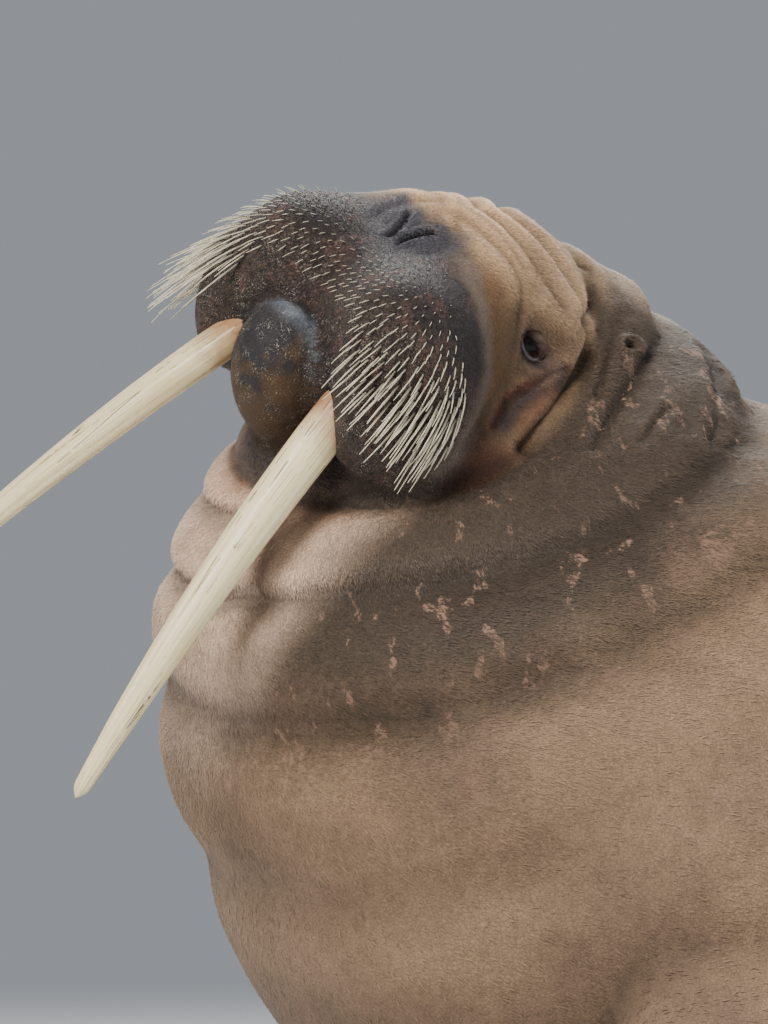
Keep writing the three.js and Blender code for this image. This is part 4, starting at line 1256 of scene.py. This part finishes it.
# Each tuft is a quad and a triangle, made at once
def tuftMesh(name, points, patch):
    count = tuft["count"]
    first = np.arange(count)[:, None]
    corners = np.hstack([first * 5 + (0, 1, 3, 2), first * 5 + (2, 3, 4)])
    mesh = bpy.data.meshes.new(name)
    mesh.vertices.add(count * 5)
    mesh.vertices.foreach_set("co", (points * milli).ravel())
    mesh.loops.add(count * 7)
    mesh.loops.foreach_set("vertex_index", corners.ravel())
    mesh.polygons.add(count * 2)
    mesh.polygons.foreach_set("loop_start", (first * 7 + (0, 4)).ravel())
    mesh.update(calc_edges=True)
    mesh.validate()
    layer = mesh.uv_layers.new(name="OFBake")
    layer.data.foreach_set("uv", (patch[:, None, :] + tuft["spots"] * tuft["patch"]).ravel())
    return mesh


def addCoat(name, style, seed):
    pick = np.random.default_rng(seed)
    count = tuft["count"]
    share = areas * coatShare(name, style)
    chosen = pick.choice(len(share), count, p=share / share.sum())
    one, two = pick.random(count), pick.random(count)
    flip = one + two > 1
    one, two = np.where(flip, 1 - one, one), np.where(flip, 1 - two, two)
    weights = np.stack([1 - one - two, one, two], 1)[:, :, None]
    roots = (skinPoints[corners[chosen]] * weights).sum(1)
    normals = unit((skinNormals[corners[chosen]] * weights).sum(1))
    # each tuft takes the skin's colour at its root, painted shade and sheen included
    tone = (colours[corners[chosen]] * weights).sum(1)
    patch = (cornerUvs[chosen] * weights).sum(1)
    lie = lieOfCoat(roots, normals)
    lie = unit(lie + np.cross(normals, lie) * pick.normal(0, tuft["turn"], count)[:, None])
    beside = np.cross(normals, lie)
    length = pick.uniform(*style["length"], count)[:, None]
    lift = style["lift"] * pick.uniform(0.5, 1.5, count)[:, None]
    width = style["width"] * pick.uniform(0.7, 1.2, count)[:, None]
    base = roots - normals * tuft["sunk"]
    middle = roots + (lie + normals * lift) * length * 0.5
    tip = roots + (lie + normals * lift * 0.8) * length
    points = np.stack([base - beside * width / 2, base + beside * width / 2,
                       middle - beside * width * 0.4, middle + beside * width * 0.4, tip], 1)
    piece = addObject(name, tuftMesh(name, points, patch))
    light = 1 + (style["tip"] - 1) * tuft["lighter"]
    pale = (style["tip"] - 1) * tuft["paler"]
    vary = 1 + style["vary"] * pick.uniform(-1, 1, count)
    tone = tone[:, None, :]
    shades = tone * light[:, None] * vary[:, None, None] + pale[:, None] * tone.mean(2, keepdims=True)
    setColours(piece, "markingsAndPaintedLight", shades.reshape(-1, 3))
    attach(piece, "root")
    return piece


coatPieces = [addCoat(name, style, 60 + i) for i, (name, style) in enumerate(coat.items())]
print("coat")


# Materials
def feed(tree, node, inputs):
    for key, value in inputs.items():
        socket = node.inputs[key]
        if isinstance(value, bpy.types.NodeSocket):
            tree.links.new(value, socket)
        else:
            socket.default_value = value


def addNode(tree, kind, inputs=None, **settings):
    made = tree.nodes.new(kind)
    for key, value in settings.items():
        setattr(made, key, value)
    feed(tree, made, inputs or {})
    return made


def mixColours(tree, share, first, second, blend="MIX"):
    made = addNode(tree, "ShaderNodeMix", {0: share, 6: first, 7: second}, data_type="RGBA", blend_type=blend)
    return made.outputs[2]


def compute(tree, operation, first, second=0.0, third=0.0):
    made = addNode(tree, "ShaderNodeMath", {0: first, 1: second, 2: third}, operation=operation)
    return made.outputs[0]


def ramp(tree, value, low, high, start=0.0, end=1.0):
    inputs = {"Value": value, "From Min": low, "From Max": high, "To Min": start, "To Max": end}
    return addNode(tree, "ShaderNodeMapRange", inputs).outputs["Result"]


def addNoise(tree, place, scale, detail, rough=0.5):
    inputs = {"Vector": place, "Scale": scale, "Detail": detail, "Roughness": rough}
    return addNode(tree, "ShaderNodeTexNoise", inputs)


def noiseRamp(tree, place, noise, low, high, start=0.0, end=1.0):
    return ramp(tree, addNoise(tree, place, *noise).outputs["Fac"], low, high, start, end)


def stretch(tree, place, scale):
    return addNode(tree, "ShaderNodeMapping", {"Vector": place, "Scale": scale}).outputs[0]


def addBump(tree, height, strength, distance):
    inputs = {"Height": height, "Strength": strength, "Distance": distance}
    return addNode(tree, "ShaderNodeBump", inputs).outputs["Normal"]


def newMaterial(name):
    material = bpy.data.materials.new(name)
    material.use_nodes = True
    tree = material.node_tree
    return material, tree, tree.nodes["Principled BSDF"]


# Fine grain that every finish carries
def addGrainGroup():
    group = bpy.data.node_groups.new("fineGrain", "ShaderNodeTree")
    sockets = [("Vector", "INPUT", "Vector"), ("Scale", "INPUT", "Float"),
               ("Shade", "OUTPUT", "Float"), ("Height", "OUTPUT", "Float")]
    for title, way, kind in sockets:
        group.interface.new_socket(title, in_out=way, socket_type="NodeSocket" + kind)
    start, end = group.nodes.new("NodeGroupInput"), group.nodes.new("NodeGroupOutput")
    noise = addNoise(group, start.outputs["Vector"], start.outputs["Scale"], 6.0, 0.6).outputs["Fac"]
    feed(group, end, {"Shade": ramp(group, noise, 0.3, 0.7, 0.8, 1.2), "Height": noise})
    return group


grain = addGrainGroup()


def addGrain(tree, vector, scale):
    return addNode(tree, "ShaderNodeGroup", {"Vector": vector, "Scale": scale}, node_tree=grain)


def objectPlace(tree):
    return addNode(tree, "ShaderNodeTexCoord").outputs["Object"]


def attribute(tree, name):
    return addNode(tree, "ShaderNodeAttribute", attribute_name=name).outputs["Color"]


hideFinish = {
    "pore": (0.02, 0.014, 0.014, 1), "crack": (0.03, 0.02, 0.016, 1), "mottle": (0.009, 0.007, 0.007, 1),
    "fleck": (0.2, 0.13, 0.11, 1), "dot": (0.022, 0.016, 0.012, 1), "sand": (0.46, 0.42, 0.35, 1),
    "rough": 0.72, "wetter": 0.45, "padSmoother": 0.16, "bump": 0.8, "bumpHeight": 0.0012,
}


def skinMaterial():
    material, tree, shader = newMaterial("hide")
    place = objectPlace(tree)

    def times(first, second):
        return compute(tree, "MULTIPLY", first, second)

    def tint(share, colour, name):
        return mixColours(tree, share, colour, hideFinish[name])

    # the painted masks: pads, wet places, scarred neck; sand, folds, nose
    parts = addNode(tree, "ShaderNodeSeparateColor", {"Color": attribute(tree, "finish")})
    extras = addNode(tree, "ShaderNodeSeparateColor", {"Color": attribute(tree, "extra")})
    pad, wet, scar = (parts.outputs[i] for i in range(3))
    fine = addGrain(tree, place, 420.0)
    broad = addGrain(tree, place, 70.0)
    colour = mixColours(tree, 1.0, attribute(tree, "markingsAndPaintedLight"), fine.outputs["Shade"], "MULTIPLY")
    colour = mixColours(tree, 0.7, colour, broad.outputs["Shade"], "MULTIPLY")

    # pores and cracks
    poreInputs = {"Vector": place, "Scale": 105.0, "Randomness": 0.75}
    pores = addNode(tree, "ShaderNodeTexVoronoi", poreInputs)
    poreShare = times(ramp(tree, pores.outputs["Distance"], 0.16, 0.3, 1.0, 0.0), pad)
    colour = tint(times(poreShare, 0.8), colour, "pore")
    cellInputs = {"Vector": place, "Scale": 240.0, "Randomness": 1.0}
    cells = addNode(tree, "ShaderNodeTexVoronoi", cellInputs, feature="DISTANCE_TO_EDGE")
    cracks = ramp(tree, cells.outputs["Distance"], 0.0, 0.12, 1.0, 0.0)
    colour = tint(times(cracks, 0.28), colour, "crack")

    # mottling and flecks on the pads, dots and scars on the neck
    mottled = times(noiseRamp(tree, place, (170.0, 6.0, 0.72), 0.5, 0.6, 0.0, 0.7), pad)
    colour = tint(mottled, colour, "mottle")
    flecked = times(noiseRamp(tree, place, (95.0, 6.0, 0.75), 0.6, 0.68, 0.0, 0.55), pad)
    colour = tint(flecked, colour, "fleck")
    dotShare = times(noiseRamp(tree, place, (150.0, 4.0, 0.7), 0.52, 0.62, 0.0, 0.45), scar)
    colour = tint(dotShare, colour, "dot")
    flat = stretch(tree, place, (34.0, 34.0, 20.0))
    scarShare = times(noiseRamp(tree, flat, (1.0, 5.0, 0.62), 0.585, 0.62), scar)
    colour = mixColours(tree, times(scarShare, 0.7), colour, (*hide["scar"], 1))

    # wet sand in patches
    specks = noiseRamp(tree, place, (620.0, 2.0), 0.57, 0.64)
    patches = noiseRamp(tree, place, (60.0, 3.0), 0.44, 0.6)
    sandShare = times(times(specks, patches), extras.outputs[0])
    colour = tint(times(sandShare, 0.8), colour, "sand")

    rough = compute(tree, "SUBTRACT", hideFinish["rough"], times(wet, hideFinish["wetter"]))
    rough = compute(tree, "SUBTRACT", rough, times(pad, hideFinish["padSmoother"]))
    rough = compute(tree, "ADD", rough, times(fine.outputs["Height"], 0.16))

    # relief, with hairs lying lengthwise where the skin isn't bare
    rugged = compute(tree, "MULTIPLY_ADD", compute(tree, "ADD", pad, extras.outputs[2]), 1.1, 0.3)
    hairs = addNoise(tree, stretch(tree, place, (700.0, 90.0, 500.0)), 1.0, 3.0).outputs["Fac"]
    height = times(fine.outputs["Height"], 0.5)
    for lowered in (times(cracks, rugged), times(mottled, 1.2), times(poreShare, 1.2)):
        height = compute(tree, "SUBTRACT", height, lowered)
    hairy = times(hairs, compute(tree, "SUBTRACT", 1.0, pad))
    for raised in (sandShare, times(broad.outputs["Height"], 1.2), hairy):
        height = compute(tree, "ADD", height, raised)
    feed(tree, shader, {
        "Base Color": colour,
        "Roughness": rough,
        "Normal": addBump(tree, height, hideFinish["bump"], hideFinish["bumpHeight"]),
        "Specular IOR Level": 0.28,
        "Sheen Weight": 0.06,
        "Sheen Roughness": 0.4,
    })
    return material


def coatMaterial():
    material, tree, shader = newMaterial("coat")
    fine = addGrain(tree, objectPlace(tree), 300.0)
    colour = mixColours(tree, 0.7, attribute(tree, "markingsAndPaintedLight"), fine.outputs["Shade"], "MULTIPLY")
    feed(tree, shader, {"Base Color": colour, "Roughness": 0.62, "Specular IOR Level": 0.3})
    return material


def whiskerMaterial():
    material, tree, shader = newMaterial("whisker")
    fine = addGrain(tree, objectPlace(tree), 320.0)
    colour = mixColours(tree, 1.0, attribute(tree, "tone"), fine.outputs["Shade"], "MULTIPLY")
    normal = addBump(tree, fine.outputs["Height"], 0.8, 0.0004)
    feed(tree, shader, {"Base Color": colour, "Roughness": 0.5, "Normal": normal})
    return material


def hornMaterial():
    material, tree, shader = newMaterial("horn")
    place = objectPlace(tree)
    fine = addGrain(tree, place, 180.0)
    lines = addNoise(tree, stretch(tree, place, (900.0, 60.0, 900.0)), 1.0, 3.0).outputs["Fac"]
    colour = mixColours(tree, lines, (0.045, 0.032, 0.022, 1), (0.2, 0.15, 0.1, 1))
    colour = mixColours(tree, 0.6, colour, fine.outputs["Shade"], "MULTIPLY")
    feed(tree, shader, {"Base Color": colour, "Roughness": 0.42, "Normal": addBump(tree, lines, 0.5, 0.0004)})
    return material


ivoryFinish = {
    "cream": (0.95, 0.82, 0.49, 1), "streak": (0.68, 0.48, 0.2, 1),
    "crack": (0.05, 0.03, 0.016, 1), "root": (0.3, 0.11, 0.035, 1),
}


def ivoryMaterial():
    material, tree, shader = newMaterial("ivory")
    place = objectPlace(tree)
    lengthwise = addNode(tree, "ShaderNodeUVMap", uv_map="tuskMap").outputs["UV"]
    streaks = addNoise(tree, stretch(tree, lengthwise, (22.0, 3.0, 1.0)), 1.0, 8.0, 0.6)
    streak = streaks.outputs["Fac"]
    colour = mixColours(tree, ramp(tree, streak, 0.42, 0.75), ivoryFinish["cream"], ivoryFinish["streak"])

    # long cracks, broken here and there
    crackPlace = stretch(tree, lengthwise, (11.0, 1.5, 1.0))
    warped = mixColours(tree, 0.06, crackPlace, streaks.outputs["Color"], "ADD")
    crackInputs = {"Vector": warped, "Scale": 1.0}
    cracks = addNode(tree, "ShaderNodeTexVoronoi", crackInputs, feature="DISTANCE_TO_EDGE")
    breaks = noiseRamp(tree, place, (55.0, 3.0), 0.46, 0.52)
    share = compute(tree, "MULTIPLY", ramp(tree, cracks.outputs["Distance"], 0.004, 0.016, 0.9, 0.0), breaks)
    colour = mixColours(tree, share, colour, ivoryFinish["crack"])

    # the root's stain
    along = addNode(tree, "ShaderNodeSeparateXYZ", {"Vector": lengthwise}).outputs["Y"]
    ragged = addNoise(tree, place, 60.0, 6.0).outputs["Fac"]
    root = compute(tree, "ADD", along, compute(tree, "MULTIPLY", ragged, -0.09))
    colour = mixColours(tree, ramp(tree, root, 0.06, 0.15, 0.85, 0.0), colour, ivoryFinish["root"])
    height = compute(tree, "SUBTRACT", compute(tree, "MULTIPLY", streak, 0.5), share)
    feed(tree, shader, {
        "Base Color": colour,
        "Roughness": ramp(tree, streak, 0.3, 0.7, 0.3, 0.5),
        "Normal": addBump(tree, height, 0.7, 0.0008),
    })
    return material


# Iris and pupil are told by the angle off the way the eye looks
eyeFinish = {
    "iris": ((0.01, 0.006, 0.004, 1), (0.03, 0.015, 0.009, 1)),
    "white": ((0.06, 0.03, 0.025, 1), (0.13, 0.08, 0.065, 1)),
    "pupil": (0.002, 0.002, 0.003, 1),
    "irisEdge": (0.8, 0.87),
    "pupilEdge": (0.955, 0.965),
}


def eyeMaterial(side):
    material, tree, shader = newMaterial("eye" + ("Left" if side > 0 else "Right"))
    centre = fromHead(onSide(eye["at"], side)) * milli
    gaze = eyeAxes(side)[2] @ headAxes
    place = objectPlace(tree)

    def vector(operation, output, inputs):
        return addNode(tree, "ShaderNodeVectorMath", inputs, operation=operation).outputs[output]

    offset = vector("SUBTRACT", 0, {0: place, 1: tuple(centre)})
    out = vector("DOT_PRODUCT", "Value", {0: offset, 1: tuple(gaze)})
    angle = compute(tree, "DIVIDE", out, vector("LENGTH", "Value", {0: offset}))
    fine = addGrain(tree, place, 500.0).outputs["Height"]
    iris = mixColours(tree, fine, *eyeFinish["iris"])
    white = mixColours(tree, fine, *eyeFinish["white"])
    colour = mixColours(tree, ramp(tree, angle, *eyeFinish["irisEdge"]), white, iris)
    colour = mixColours(tree, ramp(tree, angle, *eyeFinish["pupilEdge"]), colour, eyeFinish["pupil"])
    feed(tree, shader, {
        "Base Color": colour,
        "Roughness": 0.35,
        "Specular IOR Level": 0.12,
        "Coat Weight": 0.16,
        "Coat Roughness": 0.04,
    })
    return material


def give(piece, material):
    piece.data.materials.clear()
    piece.data.materials.append(material)


finishes = [
    ([skin], skinMaterial()),
    (coatPieces, coatMaterial()),
    (whiskerPieces, whiskerMaterial()),
    (tusks, ivoryMaterial()),
    (clawPieces, hornMaterial()),
    (eyes[:1], eyeMaterial(1)),
    (eyes[1:], eyeMaterial(-1)),
]
for pieces, material in finishes:
    for piece in pieces:
        give(piece, material)
print("materials")


# The floor thins out into the world's grey
floorStyle = {"radius": 6, "fade": (2.4, 5.5), "colour": (0.62, 0.63, 0.64, 1), "rough": 0.8}


def floorMaterial():
    material, tree, shader = newMaterial("floor")
    feed(tree, shader, {"Base Color": floorStyle["colour"], "Roughness": floorStyle["rough"]})
    far = addNode(tree, "ShaderNodeVectorMath", {0: objectPlace(tree)}, operation="LENGTH").outputs["Value"]
    clear = addNode(tree, "ShaderNodeBsdfTransparent").outputs[0]
    share = ramp(tree, far, *floorStyle["fade"])
    thinned = addNode(tree, "ShaderNodeMixShader", {0: share, 1: shader.outputs[0], 2: clear})
    feed(tree, tree.nodes["Material Output"], {"Surface": thinned.outputs[0]})
    return material


deselect()
bpy.ops.mesh.primitive_circle_add(vertices=96, radius=floorStyle["radius"], fill_type="NGON")
floor = bpy.context.view_layer.objects.active
floor.name = "floor"
give(floor, floorMaterial())

# Camera and lamps, all turned to one aim
eyesMiddle = fromHead(np.array(headPose["eyesInHead"])) * milli
view = {
    "aim": eyesMiddle + (-0.0376, -0.0711, -0.2043),
    "from": eyesMiddle + (10.838, -5.142, -0.2043),
    "lens": 444,
}
lamps = {  # place, width, power and colour
    "key": ((3.2, -4.6, 4.4), 2.6, 470, (1, 0.97, 0.92)),
    "rim": ((-2.6, 0.6, 4.2), 2.2, 300, (1, 0.98, 0.96)),
    "fill": ((4.5, 2.5, 2.4), 4.0, 120, (0.9, 0.95, 1)),
}
sky = {"colour": (0.36, 0.385, 0.42, 1), "strength": 0.8}


def aimFrom(item, place):
    item.location = place
    item.rotation_euler = (Vector(view["aim"]) - Vector(place)).to_track_quat("-Z", "Y").to_euler()


def addCamera():
    data = bpy.data.cameras.new("camera")
    data.lens, data.clip_end = view["lens"], 200
    camera = addObject("camera", data)
    aimFrom(camera, view["from"])
    bpy.context.scene.camera = camera


def addLamp(name, place, size, power, colour):
    data = bpy.data.lights.new(name, "AREA")
    data.shape, data.size, data.energy, data.color = "DISK", size, power, colour
    aimFrom(addObject(name, data), place)


addCamera()
for name, values in lamps.items():
    addLamp(name, *values)

world = bpy.data.worlds.new("studio")
bpy.context.scene.world = world
world.use_nodes = True
background = world.node_tree.nodes["Background"]
background.inputs["Color"].default_value = sky["colour"]
background.inputs["Strength"].default_value = sky["strength"]
